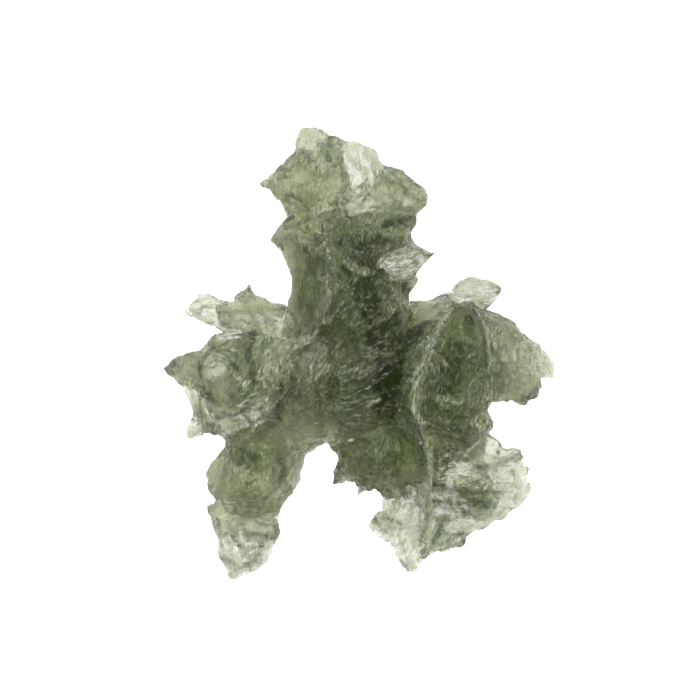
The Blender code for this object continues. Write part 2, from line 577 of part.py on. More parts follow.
def weather(mesh):
    """Roughens the skin with small pits and low lumps, along each point's own normal."""
    place = coords(mesh)
    out = normals(mesh)
    depth = np.empty(len(place))
    for index, point in enumerate(place):
        spot = Vector(point)
        lumps = noise.fractal(spot * LUMP_SCALE, LUMP_FALL, LUMP_GAP, LUMP_SIZES)
        near = noise.voronoi(spot * PIT_SCALE, distance_metric="DISTANCE")[0][0]
        depth[index] = LUMP_DEPTH * lumps - PIT_DEPTH * max(0.0, 1.0 - near / PIT_REACH)
    set_coords(mesh, place + out * depth[:, None])


def triangle_count(mesh):
    return sum(len(face.vertices) - 2 for face in mesh.polygons)


def thinned(mesh, triangles):
    """The mesh brought down to about this many triangles."""
    obj = link("thinning", mesh)
    fewer = obj.modifiers.new("fewer", "DECIMATE")
    fewer.ratio = triangles / triangle_count(mesh)
    fewer.use_collapse_triangulate = True
    return to_mesh(obj)


def flattened(mesh, level):
    """The mesh cut off below the level, so that it stands on its worn flats."""
    shape = bmesh.new()
    shape.from_mesh(mesh)
    cut = bmesh.ops.bisect_plane(
        shape,
        geom=shape.verts[:] + shape.edges[:] + shape.faces[:],
        dist=WELD,
        plane_co=(0.0, 0.0, level),
        plane_no=(0.0, 0.0, -1.0),
        clear_outer=True,
    )
    rims = [piece for piece in cut["geom_cut"] if isinstance(piece, bmesh.types.BMEdge)]
    filled = bmesh.ops.edgenet_fill(shape, edges=rims)
    flats = filled["faces"]
    bmesh.ops.recalc_face_normals(shape, faces=shape.faces)
    for flat in flats:
        spot = flat.calc_center_median()
        print(f"flat at {spot.x:.2f} {spot.y:.2f}, {flat.calc_area():.2f} mm2")
    return from_bmesh(shape)


def green_glass():
    """Bottle-green natural glass, a little dull from etching."""
    material = bpy.data.materials.new("green glass")
    material.use_nodes = True
    shader = material.node_tree.nodes["Principled BSDF"]
    shader.inputs["Base Color"].default_value = (0.17, 0.22, 0.09, 1.0)
    shader.inputs["Roughness"].default_value = 0.25
    shader.inputs["Metallic"].default_value = 0.0
    shader.inputs["IOR"].default_value = 1.49
    shader.inputs["Transmission Weight"].default_value = 0.9
    return material


def centred(mesh):
    """The mesh moved in plan so that the middle of its box is over the origin."""
    place = coords(mesh)
    middle = (place.min(axis=0) + place.max(axis=0)) / 2.0
    print(f"moved by {-middle[0]:.3f} {-middle[1]:.3f} mm")
    mesh.transform(Matrix.Translation((-middle[0], -middle[1], 0.0)))


def main():
    clear_scene()
    profile = crest_profile()
    pieces = [lobe(name, *facts) for name, facts in LOBES.items()]
    pieces += [crest(name, path, profile) for name, path in CRESTS.items()]
    bpy.data.objects.remove(profile)
    pieces += [spur(*facts) for facts in SPURS]
    pieces += [ball(*facts) for facts in LUMPS]
    mesh = remeshed(joined(pieces), BODY_VOXEL)
    print("faces of the fused body:", len(mesh.polygons))
    bites = [ball(*facts) for facts in FACE_BITES]
    bites += strewn_bites(mesh)
    mesh = bitten(mesh, bites)
    mesh = largest_piece(mesh)
    mesh = remeshed(mesh, SKIN_VOXEL)
    print("faces of the bitten skin:", len(mesh.polygons))
    weather(mesh)
    mesh = thinned(mesh, TRIANGLES)
    mesh = flattened(mesh, FLOOR)
    mesh = largest_piece(mesh)
    centred(mesh)
    mesh.transform(Matrix.Scale(METRES, 4))
    mesh.name = "moldavite"
    mesh.materials.append(green_glass())
    stone = bpy.data.objects.new("moldavite", mesh)
    collection = bpy.data.collections.new("moldavite")
    bpy.context.scene.collection.children.link(collection)
    collection.objects.link(stone)
    print("triangles:", triangle_count(mesh))


main()
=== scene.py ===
# %% [markdown]
# # A spiky green moldavite
#
# Moldavite is natural glass. Groundwater etched this piece for millions of years, so it has no flat
# side: thin lobes reach out from a thick heart, and every face is fluted, pitted and sharp.
# The thick heart is dark bottle green, and the thin lobes are pale and let the light through.
#
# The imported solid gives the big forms. This script lays a much finer skin over it, etches that
# skin, makes it clear green glass, and photographs it from above on a lit table.

import math

import bmesh
import bpy
import numpy as np
from mathutils import Matrix, Vector, noise
from mathutils.bvhtree import BVHTree


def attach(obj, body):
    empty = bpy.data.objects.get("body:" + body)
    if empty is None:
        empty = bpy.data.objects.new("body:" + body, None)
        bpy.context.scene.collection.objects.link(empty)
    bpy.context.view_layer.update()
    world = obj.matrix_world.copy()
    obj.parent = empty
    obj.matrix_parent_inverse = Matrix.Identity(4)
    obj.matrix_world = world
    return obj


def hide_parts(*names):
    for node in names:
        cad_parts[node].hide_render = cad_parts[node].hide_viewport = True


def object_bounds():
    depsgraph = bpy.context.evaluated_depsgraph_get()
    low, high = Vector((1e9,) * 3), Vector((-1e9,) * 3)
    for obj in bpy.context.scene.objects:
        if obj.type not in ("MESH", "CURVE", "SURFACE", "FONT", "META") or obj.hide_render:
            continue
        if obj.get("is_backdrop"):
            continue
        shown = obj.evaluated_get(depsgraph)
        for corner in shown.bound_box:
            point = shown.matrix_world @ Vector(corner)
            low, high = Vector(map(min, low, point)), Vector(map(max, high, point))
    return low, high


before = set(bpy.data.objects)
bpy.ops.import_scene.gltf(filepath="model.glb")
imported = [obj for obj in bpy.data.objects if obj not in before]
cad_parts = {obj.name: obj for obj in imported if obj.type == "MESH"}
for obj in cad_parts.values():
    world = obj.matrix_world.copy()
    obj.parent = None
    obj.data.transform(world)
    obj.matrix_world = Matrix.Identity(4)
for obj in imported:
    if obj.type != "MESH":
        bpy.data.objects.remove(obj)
solid_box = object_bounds()
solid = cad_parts["moldavite"]
MM = 0.001
print("solid", [round(high - low, 4) for low, high in zip(*solid_box)])

# %% [markdown]
# ## A fine skin over the solid
#
# The solid has about nine thousand triangles, far too few for etched glass. Its facets could be
# hidden by a Subdivision Surface, but the facets are uneven, and so would be the new points.
# A voxel Remesh gives points at an even distance all over, which is what the etching needs later.
# A few passes of Smooth then take off the old facets, and leave the ridges.

# %% The fine skin
# How far apart the skin's points are, in millimetres, and how often it is smoothed
SKIN_VOXEL = 0.14
SOFTENING = 3


def points_of(mesh):
    """The mesh's points as rows of X, Y and Z, in millimetres."""
    flat = np.empty(len(mesh.vertices) * 3, np.float32)
    mesh.vertices.foreach_get("co", flat)
    return flat.reshape(-1, 3).astype(float) / MM


def set_points(mesh, points):
    """Gives the mesh's points new places, in millimetres."""
    mesh.vertices.foreach_set("co", (points * MM).astype(np.float32).ravel())
    mesh.update()


def facing_of(mesh):
    """The direction that the skin faces at each point."""
    flat = np.empty(len(mesh.vertices) * 3, np.float32)
    mesh.vertices.foreach_get("normal", flat)
    return flat.reshape(-1, 3).astype(float)


def applied(mesh, name, *modifiers):
    """The mesh after these modifiers, each given as its type and its settings."""
    holder = bpy.data.objects.new(name, mesh)
    bpy.context.scene.collection.objects.link(holder)
    for kind, settings in modifiers:
        modifier = holder.modifiers.new(kind, kind)
        for setting, value in settings.items():
            setattr(modifier, setting, value)
    graph = bpy.context.evaluated_depsgraph_get()
    result = bpy.data.meshes.new_from_object(holder.evaluated_get(graph))
    bpy.data.objects.remove(holder)
    bpy.data.meshes.remove(mesh)
    result.name = name
    return result


# Lumps that close two slits between lobes: how finely they are faceted, and then the middle and
# the three radii of each, in millimetres
FILL_DETAIL = 3
FILLS = {
    "under the cup": ((-12.3, -6.1, 6.5), (1.1, 0.8, 0.8)),
    "behind the flap": ((-6.1, 2.4, 6.2), (0.8, 1.0, 2.0)),
}


def filled(mesh):
    """A copy of the mesh with the lumps laid into it, still separate until it is remeshed."""
    shape = bmesh.new()
    shape.from_mesh(mesh)
    for middle, radii in FILLS.values():
        size = Matrix.Diagonal((*[radius * MM for radius in radii], 1.0))
        place = Matrix.Translation(Vector(middle) * MM) @ size
        bmesh.ops.create_icosphere(shape, subdivisions=FILL_DETAIL, radius=1.0, matrix=place)
    copy = mesh.copy()
    shape.to_mesh(copy)
    shape.free()
    return copy


skin = applied(
    filled(solid.data),
    "skin",
    ("REMESH", {"mode": "VOXEL", "voxel_size": SKIN_VOXEL * MM}),
    ("SMOOTH", {"factor": 0.5, "iterations": SOFTENING}),
)
print("skin points", len(skin.vertices))

# %% [markdown]
# ## Pull the rims into place
#
# The solid's rims are smooth arcs between its corners, and the real outline wanders off them by
# up to about 0.7 mm. A sculptor would use the Grab brush. In code a grab is a place, a radius and a
# move in plan, which fades out towards the radius. All depths move together, so the glass stays as
# thick as it was. Where two grabs overlap, their moves are added.

# %% Grab the rims
# X and Y of the middle, radius, and the move in X and Y, in millimetres
GRABS = {
    "crown left top": ((-5.7, 17.9), 2.0, (0.15, 0.0)),
    "crown top": ((-2.8, 18.7), 1.2, (0.0, 0.2)),
    "crown left slope": ((-6.8, 16.2), 1.8, (0.2, -0.1)),
    "crown left corner": ((-7.7, 15.4), 1.0, (0.1, -0.1)),
    "crown left tip": ((-8.3, 14.1), 0.9, (-0.2, 0.0)),
    "crown right shoulder": ((1.3, 17.2), 1.2, (0.3, 0.2)),
    "crown right slope": ((4.4, 15.2), 1.6, (-0.1, -0.15)),
    "crown right side": ((5.9, 13.2), 1.8, (-0.1, 0.0)),
    "sill side": ((5.4, 11.5), 0.9, (-0.35, 0.0)),
    "neck spur": ((-7.5, 9.9), 1.2, (0.25, -0.1)),
    "neck right": ((5.0, 10.1), 1.5, (-0.65, 0.0)),
    "flake top": ((5.8, 9.2), 1.2, (-0.1, -0.4)),
    "flake right": ((5.3, 7.3), 1.3, (-0.05, -0.1)),
    "neck right waist": ((4.6, 10.6), 1.5, (0.2, 0.0)),
    "neck armpit": ((4.6, 4.9), 1.5, (-0.35, 0.0)),
    "arm root top": ((5.6, 4.8), 1.4, (0.0, -0.25)),
    "neck right side": ((4.6, 5.8), 1.0, (0.25, 0.0)),
    "neck left": ((-6.0, 5.2), 1.8, (0.25, 0.0)),
    "flap top": ((-7.6, 4.6), 1.6, (0.0, -0.2)),
    "flap root": ((-6.4, 2.6), 1.2, (0.5, 0.0)),
    "flap peak": ((-10.0, 5.0), 0.9, (-0.1, 0.15)),
    "flap peak right": ((-8.6, 5.4), 0.9, (-0.1, -0.25)),
    "flap hollow": ((-11.7, 4.9), 1.0, (0.0, -0.25)),
    "flap end": ((-14.5, 3.6), 1.4, (-0.4, 0.0)),
    "cup notch": ((-12.2, 1.6), 1.1, (-0.5, 0.2)),
    "cup top": ((-14.8, -0.3), 1.6, (0.0, 0.05)),
    "cup spike": ((-16.8, -1.4), 1.2, (0.05, 0.0)),
    "cup left": ((-14.9, -3.8), 1.1, (-0.35, 0.0)),
    "cup spike low": ((-15.7, -2.7), 0.9, (0.0, 0.1)),
    "cup low tip": ((-14.4, -6.4), 1.4, (-0.5, -0.1)),
    "cup low edge": ((-12.5, -6.2), 1.0, (0.1, -0.3)),
    "leg root": ((-12.0, -8.0), 1.8, (0.4, 0.0)),
    "leg notch": ((-12.8, -12.5), 0.7, (0.4, -0.1)),
    "leg notch low": ((-12.9, -12.7), 0.8, (0.0, -0.1)),
    "leg left corner": ((-13.1, -10.6), 1.2, (0.15, 0.0)),
    "leg left side": ((-11.8, -17.2), 1.8, (-0.45, -0.2)),
    "leg end": ((-10.2, -18.8), 1.7, (-0.3, -0.35)),
    "leg end right": ((-9.0, -18.4), 1.2, (0.1, -0.25)),
    "leg right side": ((-6.3, -12.9), 1.4, (-0.1, 0.0)),
    "leg right upper": ((-5.3, -11.6), 0.9, (-0.3, 0.0)),
    "leg right nick": ((-6.7, -15.2), 1.0, (-0.1, 0.0)),
    "bay top": ((-2.5, -8.7), 1.2, (0.3, 0.1)),
    "keel corner": ((-2.5, -10.6), 1.2, (0.1, 0.0)),
    "keel bottom left": ((-0.6, -11.6), 1.0, (0.2, 0.45)),
    "keel bottom": ((1.0, -12.1), 1.3, (0.0, 0.35)),
    "foot left side": ((1.3, -13.3), 1.8, (0.25, 0.0)),
    "foot left low": ((2.0, -15.9), 1.2, (-0.2, -0.35)),
    "foot left high": ((1.2, -13.6), 1.0, (0.1, 0.0)),
    "foot point side": ((3.0, -17.0), 1.4, (-0.3, 0.0)),
    "foot point": ((4.1, -18.9), 1.3, (0.1, 0.15)),
    "foot point right": ((5.4, -17.9), 0.9, (-0.3, 0.1)),
    "foot low edge": ((6.6, -17.3), 1.4, (-0.1, 0.1)),
    "foot low nick": ((8.6, -16.4), 1.0, (0.15, -0.1)),
    "foot right low": ((11.2, -14.8), 1.6, (0.05, -0.1)),
    "foot right side": ((13.9, -12.6), 1.6, (0.1, -0.1)),
    "foot right top": ((13.5, -8.4), 1.2, (0.35, 0.2)),
    "leaf armpit": ((11.5, -4.7), 1.3, (-0.55, 0.35)),
    "leaf armpit foot": ((11.6, -7.5), 1.0, (0.25, 0.2)),
    "leaf armpit low": ((11.4, -5.5), 1.0, (-0.2, 0.0)),
    "leaf foot": ((11.4, -7.0), 1.2, (0.15, 0.0)),
    "leaf low edge": ((12.8, -4.5), 1.1, (0.0, 0.45)),
    "leaf corner": ((15.0, -4.0), 1.2, (-0.5, 0.3)),
    "leaf tab low": ((16.3, -2.4), 1.0, (0.1, 0.1)),
    "leaf tab top": ((15.4, 0.9), 1.4, (-0.05, 0.1)),
    "leaf top": ((12.4, 3.6), 1.4, (0.0, -0.2)),
    "arm top": ((8.2, 6.2), 1.6, (0.0, 0.05)),
    "arm end": ((11.4, 6.0), 1.2, (0.45, 0.1)),
}


def grab(points):
    """Where the points go when all the grabs have pulled them."""
    moved = points.copy()
    for (x, y), radius, (across, up) in GRABS.values():
        away = np.hypot(points[:, 0] - x, points[:, 1] - y) / radius
        hold = np.clip(1.0 - away**2, 0.0, 1.0) ** 2
        moved[:, 0] += across * hold
        moved[:, 1] += up * hold
    return moved


set_points(skin, grab(points_of(skin)))
print("grabs", len(GRABS))

# %% [markdown]
# ## Crisper forms
#
# Remeshing and smoothing round off every tip and ridge a little. A photographer's sharpening puts
# that back, and it works on shapes too: a point is compared with its smoothed place, and moved on
# by some of the difference. Tips and ridges grow out, and creases get deeper.

# %% Sharpen the skin
# How often the smoothed place is smoothed, the share of the difference that a point moves on by,
# and its longest move, in millimetres
BLUR_PASSES = 14
SHARPENING = 0.9
MOST_SHARPENING = 0.3

# Added where a number that is divided by could be 0
TINY = 1e-9


def neighbours_of(mesh):
    """The two ends of each edge, and how many edges each point has."""
    ends = np.empty(len(mesh.edges) * 2, np.int32)
    mesh.edges.foreach_get("vertices", ends)
    ends = ends.reshape(-1, 2)
    return ends, np.bincount(ends.ravel(), minlength=len(mesh.vertices))


def evened(values, ends, count, passes):
    """The values, each moved halfway to its neighbours' mean in each pass."""
    for _ in range(passes):
        total = np.bincount(ends[:, 0], values[ends[:, 1]], len(values))
        total += np.bincount(ends[:, 1], values[ends[:, 0]], len(values))
        values = 0.5 * values + 0.5 * total / count
    return values


def stands_off(mesh, passes):
    """The way from each point's smoothed place to the point itself, in millimetres."""
    ends, count = neighbours_of(mesh)
    points = points_of(mesh)
    smoothed = [evened(points[:, axis], ends, count, passes) for axis in range(3)]
    return points - np.stack(smoothed, axis=1)


def sharpen(mesh):
    """Moves each point on, away from its smoothed place, but not where it rests on the floor."""
    points = points_of(mesh)
    step = stands_off(mesh, BLUR_PASSES) * SHARPENING
    length = np.linalg.norm(step, axis=1)
    step *= (np.minimum(length, MOST_SHARPENING) / np.maximum(length, TINY))[:, None]
    step *= np.clip(points[:, 2:], 0.0, 1.0)
    set_points(mesh, points + step)
    return length


print("sharpened by, mm", np.percentile(sharpen(skin), (50, 95, 99.9)).round(2))

# %% [markdown]
# ## Light and dark strokes
#
# Some places of the stone are paler or darker than the glass around them. A painter would put
# them in with strokes, and so does this: each stroke is a path over the skin as seen from above,
# with a width and a strength, more than 0 for light and less than 0 for dark. The first rows are
# wide coats, and the rest go over them. They are used twice: the glass is made thinner under a
# light stroke and thicker under a dark one, and the skin is frosted or dulled along it. The dulling
# is painted shade, and the frost is partly the etched skin and partly painted highlight. Their
# order matters, because a later stroke lies over the ones before it.

# %% The coats, and the strokes of the crown
# Strength, half width, and the X and Y of each point of the path, in millimetres
# Dark strokes lay painted shade on the skin; light ones lay frost, partly painted highlight
MARKS = {
    "crown coat": (0.35, 3.0, [(-4.6, 15.4), (-1.0, 14.8), (3.4, 13.6)]),
    "crown right coat": (0.55, 1.8, [(0.4, 16.2), (1.4, 14.6)]),
    "foot coat": (0.62, 3.0, [(3.6, -14.6), (7.6, -12.8), (12.0, -11.6)]),
    "shoulder coat": (0.4, 2.2, [(-6.2, 0.0), (-8.0, -2.4), (-9.8, -5.2)]),
    "leg coat": (0.25, 2.4, [(-8.6, -9.0), (-9.6, -13.0)]),
    "flap coat": (0.35, 1.6, [(-7.4, 3.0), (-12.0, 3.2)]),
    "leaf coat": (0.35, 2.4, [(12.8, 0.6), (13.6, -2.0)]),
    "crown peak": (0.56, 1.3, [(-0.7, 17.3), (-0.5, 15.9), (-0.7, 14.7)]),
    "crown peak heart": (0.76, 0.6, [(-0.5, 17.4), (-0.7, 15.8)]),
    "crown peak low": (0.5, 0.9, [(-0.9, 14.7), (-1.0, 13.2)]),
    "crown swirl": (0.78, 0.35, [(0.3, 16.4), (0.9, 16.0), (0.9, 15.0), (0.2, 14.4)]),
    "crown swirl line": (-0.4, 0.15, [(0.6, 16.8), (1.5, 16.2), (1.2, 15.2), (0.6, 14.8)]),
    "crown left peak": (0.56, 1.0, [(-4.3, 18.4), (-3.9, 16.9)]),
    "crown left streak": (0.5, 0.25, [(-5.2, 17.6), (-4.8, 16.6)]),
    "crown left line": (-0.4, 0.15, [(-4.9, 17.9), (-4.4, 16.6)]),
    "crown left tip": (0.6, 0.6, [(-8.2, 14.4), (-7.4, 15.0)]),
    "crown shadow": (-0.8, 0.75, [(-2.9, 17.4), (-2.2, 16.4)]),
    "crown fold": (-0.75, 0.34, [(-6.8, 13.8), (-5.2, 13.1), (-4.3, 12.2), (-4.2, 11.2)]),
    "crown fold light": (0.3, 0.5, [(-5.9, 12.6), (-5.4, 11.4)]),
    "crown flecks": (0.45, 0.6, [(-3.4, 13.2), (-1.6, 12.6)]),
    "crown right line": (-0.6, 0.3, [(1.7, 16.6), (2.4, 15.4), (3.4, 14.6), (4.0, 13.4)]),
    "crown right arc": (-0.4, 0.2, [(0.8, 13.4), (1.8, 14.6), (2.6, 15.2)]),
    "crown rim": (-0.6, 0.3, [(1.2, 17.2), (2.2, 15.9), (3.8, 15.2), (5.2, 14.0)]),
    "crown flank": (-0.15, 0.9, [(3.0, 13.6), (4.6, 12.6)]),
    "crown flank light": (0.5, 0.4, [(2.2, 13.2), (3.4, 13.2)]),
    "crown low": (0.45, 1.0, [(-1.8, 12.2), (0.2, 12.3), (2.0, 12.3)]),
    "sill": (-1.0, 0.9, [(2.4, 10.7), (3.7, 11.1), (4.3, 10.9)]),
    "sill shade": (-0.7, 0.7, [(2.6, 9.5), (4.0, 9.0), (5.4, 8.8)]),
}
print("strokes so far", len(MARKS))

# %% The strokes of the neck, the heart and the fin
MARKS.update({
    "neck top": (-0.8, 0.8, [(-1.6, 9.6), (0.4, 9.3), (2.0, 9.6)]),
    "neck face": (-0.9, 2.2, [(0.2, 8.4), (0.2, 5.8), (0.9, 3.4)]),
    "neck left": (-0.35, 1.2, [(-4.9, 8.4), (-4.7, 5.4), (-4.6, 3.2)]),
    "neck right": (-0.8, 0.7, [(3.7, 6.2), (4.2, 4.8)]),
    "neck streak": (0.3, 0.4, [(-3.6, 10.4), (-3.0, 9.2), (-2.5, 8.0)]),
    "neck edge": (0.3, 0.5, [(-2.5, 6.0), (-2.6, 4.6), (-2.7, 3.2)]),
    "neck branch": (0.3, 0.25, [(-3.7, 1.5), (-2.6, 2.7), (-1.5, 4.3)]),
    "neck flecks": (0.3, 0.5, [(-0.6, 7.2), (0.4, 6.8)]),
    "neck right flecks": (0.35, 0.4, [(2.2, 4.6), (3.0, 3.2), (3.4, 2.4)]),
    "core": (-1.0, 1.2, [(2.6, 2.6), (1.2, 1.2), (1.8, 0.6), (3.2, 1.0), (4.6, 1.4)]),
    "core two": (-1.0, 0.9, [(3.2, -0.2), (2.6, -1.6)]),
    "flake": (0.86, 1.4, [(2.5, 7.1), (3.8, 7.2), (4.8, 7.7)]),
    "flake tip": (-0.6, 0.4, [(5.2, 8.6), (6.0, 8.2)]),
    "heart": (-1.0, 1.9, [(2.4, 0.6), (2.2, -1.8), (2.3, -4.2)]),
    "heart line": (0.35, 0.2, [(-1.8, -1.9), (-0.6, -1.5), (0.4, -0.9)]),
    "heart line two": (0.2, 0.2, [(0.2, 0.4), (2.4, -0.2), (3.6, 0.4)]),
    "heart dots": (0.3, 0.25, [(-3.4, -2.6), (-3.2, -3.4)]),
    "heart glint": (0.8, 0.3, [(0.7, -4.2), (1.6, -3.9)]),
    "heart line three": (0.35, 0.18, [(-1.2, -4.8), (-0.2, -4.5)]),
    "fin shade": (-1.0, 0.8, [(4.9, 1.8), (3.8, 0.4), (3.2, -1.0), (3.0, -2.8)]),
    "fin": (0.5, 1.2, [(7.2, 3.0), (6.5, 1.4), (5.7, 0.0), (5.1, -1.2)]),
    "fin foot": (0.5, 1.0, [(5.1, -1.2), (4.8, -2.4), (4.6, -4.2)]),
    "fin low": (0.62, 0.6, [(4.5, -4.4), (5.1, -6.0), (5.7, -7.6)]),
    "fin low shade": (-0.7, 0.3, [(4.6, -5.6), (5.2, -7.6), (5.2, -9.0)]),
    "fin low two": (0.66, 0.6, [(5.9, -7.6), (6.0, -9.4), (5.7, -11.2)]),
    "fin low light": (0.88, 0.95, [(5.5, -11.4), (5.0, -13.2), (4.4, -15.0), (3.8, -16.6)]),
})
print("strokes so far", len(MARKS))

# %% The strokes of the leaf
MARKS.update({
    "leaf top": (-0.7, 1.0, [(9.0, 3.6), (9.3, 2.4)]),
    "leaf face": (-0.85, 1.6, [(8.3, 0.6), (7.7, -1.6), (7.4, -3.4)]),
    "leaf low": (-0.35, 1.3, [(8.0, -4.8), (8.6, -5.6)]),
    "leaf hollow": (-0.7, 1.1, [(8.0, -6.4), (9.0, -7.2), (9.4, -8.2)]),
    "leaf fleck": (0.8, 0.22, [(7.0, -0.7), (7.4, -1.1)]),
    "leaf flecks": (0.4, 0.45, [(8.4, -4.0), (6.6, -3.8)]),
    "leaf side": (0.3, 0.8, [(10.6, 3.0), (11.2, 0.6), (11.0, -2.2), (10.6, -5.2), (10.9, -7.4)]),
    "leaf dots": (-1.0, 0.5, [(14.9, -3.0), (15.0, -3.7), (13.9, -3.8)]),
    "leaf tab": (0.5, 0.9, [(15.4, 0.0), (16.2, -1.4)]),
    "leaf low edge": (0.5, 0.5, [(11.8, -3.8), (13.2, -3.9)]),
    "leaf green": (0.35, 0.7, [(9.8, -5.7), (10.2, -6.3)]),
    "leaf sparkle": (1.0, 0.18, [(7.1, -7.3), (7.15, -7.35)]),
})
print("strokes so far", len(MARKS))

# %% The strokes of the foot
MARKS.update({
    "hollow bar": (0.8, 0.16, [(8.9, -8.7), (9.9, -7.6)]),
    "hollow bar two": (0.7, 0.2, [(6.4, -9.6), (7.3, -8.5)]),
    "foot green": (0.72, 0.95, [(6.9, -10.3), (8.4, -10.5), (10.8, -11.0)]),
    "foot green left": (0.72, 0.6, [(6.9, -9.9), (8.0, -11.0)]),
    "foot tip side": (0.6, 0.9, [(3.4, -15.6), (4.2, -17.0)]),
    "foot dots": (-0.8, 0.16, [(6.8, -10.5), (7.2, -10.2)]),
    "foot bank": (0.55, 0.7, [(7.9, -9.4), (9.4, -9.9)]),
    "foot top shade": (-0.6, 0.4, [(9.9, -9.7), (11.0, -9.7), (12.4, -9.3), (13.4, -8.9)]),
    "foot pocket": (0.6, 0.45, [(11.6, -8.3), (12.0, -8.8)]),
    "foot corner": (0.8, 1.1, [(12.6, -10.4), (13.2, -11.2)]),
    "foot corner low": (0.8, 0.9, [(13.0, -12.0), (11.6, -13.4)]),
    "foot arch": (0.9, 0.6, [(6.2, -12.1), (7.8, -12.1), (8.9, -12.8), (9.6, -14.0)]),
    "foot arch shade": (-0.9, 0.32, [(6.3, -12.6), (7.7, -12.6)]),
    "foot middle": (0.88, 0.85, [(6.9, -13.3), (8.0, -13.4)]),
    "foot hollow": (-0.85, 0.8, [(9.8, -12.7), (10.8, -12.9)]),
    "foot hollow two": (-0.6, 0.3, [(8.7, -13.3), (9.0, -13.8)]),
    "foot dart": (-1.0, 0.35, [(6.3, -11.1), (7.0, -11.3)]),
    "foot dart line": (-0.5, 0.3, [(7.0, -11.5), (8.6, -11.9), (10.4, -11.8), (12.0, -11.9)]),
    "foot left": (0.65, 1.1, [(3.2, -12.7), (3.4, -14.4)]),
    "foot left edge": (0.85, 0.35, [(1.3, -14.7), (2.1, -15.3)]),
    "foot left line": (-0.8, 0.32, [(1.2, -14.2), (2.4, -14.1), (3.6, -14.6)]),
    "foot left line two": (-0.4, 0.15, [(2.6, -15.2), (4.0, -14.4)]),
    "foot ray one": (-0.7, 0.3, [(5.8, -13.7), (5.6, -15.0), (5.1, -16.4)]),
    "foot ray two": (-0.9, 0.45, [(7.3, -14.0), (6.7, -15.2), (6.1, -16.6)]),
    "foot ray three": (-0.9, 0.36, [(6.8, -16.4), (8.0, -15.9), (8.8, -15.4)]),
    "foot glare": (0.9, 0.6, [(7.6, -14.9), (9.2, -14.4), (9.8, -14.6)]),
    "foot low rim": (-0.7, 0.3, [(5.4, -17.0), (7.0, -16.8), (9.0, -16.0), (10.6, -15.0)]),
    "foot point": (0.85, 0.6, [(3.9, -17.6), (4.4, -18.2)]),
})
print("strokes so far", len(MARKS))

# %% The strokes of the keel and the leg
MARKS.update({
    "keel": (-0.35, 1.6, [(-0.6, -9.6), (1.6, -9.8)]),
    "keel right": (-0.5, 1.0, [(3.0, -9.0), (3.0, -11.0)]),
    "keel light": (0.35, 0.5, [(-1.4, -9.8), (-0.6, -10.6)]),
    "keel glint": (0.9, 0.2, [(-1.0, -7.35), (-0.7, -7.3)]),
    "bay rim": (0.6, 0.25, [(-3.0, -7.5), (-4.6, -7.9), (-5.6, -8.8)]),
    "leg spot": (-0.8, 0.9, [(-9.8, -8.6), (-8.8, -8.9)]),
    "leg right shade": (-0.5, 0.6, [(-7.0, -8.4), (-6.6, -9.6)]),
    "leg middle": (-0.3, 1.0, [(-9.6, -11.8), (-9.2, -13.0)]),
    "leg band": (0.45, 0.3, [(-4.6, -8.2), (-5.6, -8.7), (-5.9, -9.3)]),
    "leg band low": (0.45, 0.3, [(-5.2, -10.2), (-6.4, -11.1), (-7.4, -12.6)]),
    "leg band shade": (-0.6, 0.32, [(-6.0, -9.9), (-6.9, -10.8), (-8.2, -12.6)]),
    "leg left": (0.3, 0.5, [(-11.6, -8.4), (-12.2, -10.4), (-12.3, -11.6)]),
    "leg left shade": (-0.5, 0.34, [(-11.0, -8.6), (-11.4, -10.2), (-11.9, -11.8)]),
    "leg patch": (0.4, 0.35, [(-10.1, -9.9), (-10.0, -10.8)]),
    "leg patch two": (0.4, 0.35, [(-8.0, -10.6), (-7.2, -10.7)]),
    "leg flecks": (0.35, 0.3, [(-11.2, -11.6), (-10.2, -11.3)]),
    "leg line": (0.5, 0.15, [(-11.4, -13.6), (-9.8, -13.9)]),
    "leg line two": (0.5, 0.15, [(-11.6, -14.6), (-10.4, -14.4)]),
    "leg line three": (0.5, 0.2, [(-11.8, -15.5), (-10.6, -15.2)]),
    "leg line four": (0.4, 0.3, [(-9.6, -14.8), (-8.4, -15.0)]),
    "leg tip light": (0.9, 0.55, [(-11.2, -15.9), (-10.7, -17.0), (-10.2, -17.8)]),
    "leg tip middle": (0.8, 0.35, [(-9.6, -17.0), (-9.0, -16.2)]),
    "leg tip dark": (-0.6, 0.25, [(-10.4, -16.0), (-9.9, -16.9), (-9.4, -17.6)]),
    "leg tip right": (0.9, 0.5, [(-7.9, -16.2), (-8.1, -17.6)]),
    "leg tip end": (0.8, 0.3, [(-11.0, -18.6), (-9.6, -18.7)]),
    "leg tip border": (-0.8, 0.3, [
        (-12.1, -14.4), (-11.9, -16.0), (-11.4, -17.5), (-10.4, -18.2), (-9.0, -17.9), (-8.6, -16.8),
        (-8.0, -15.6),
    ]),
})
print("strokes so far", len(MARKS))

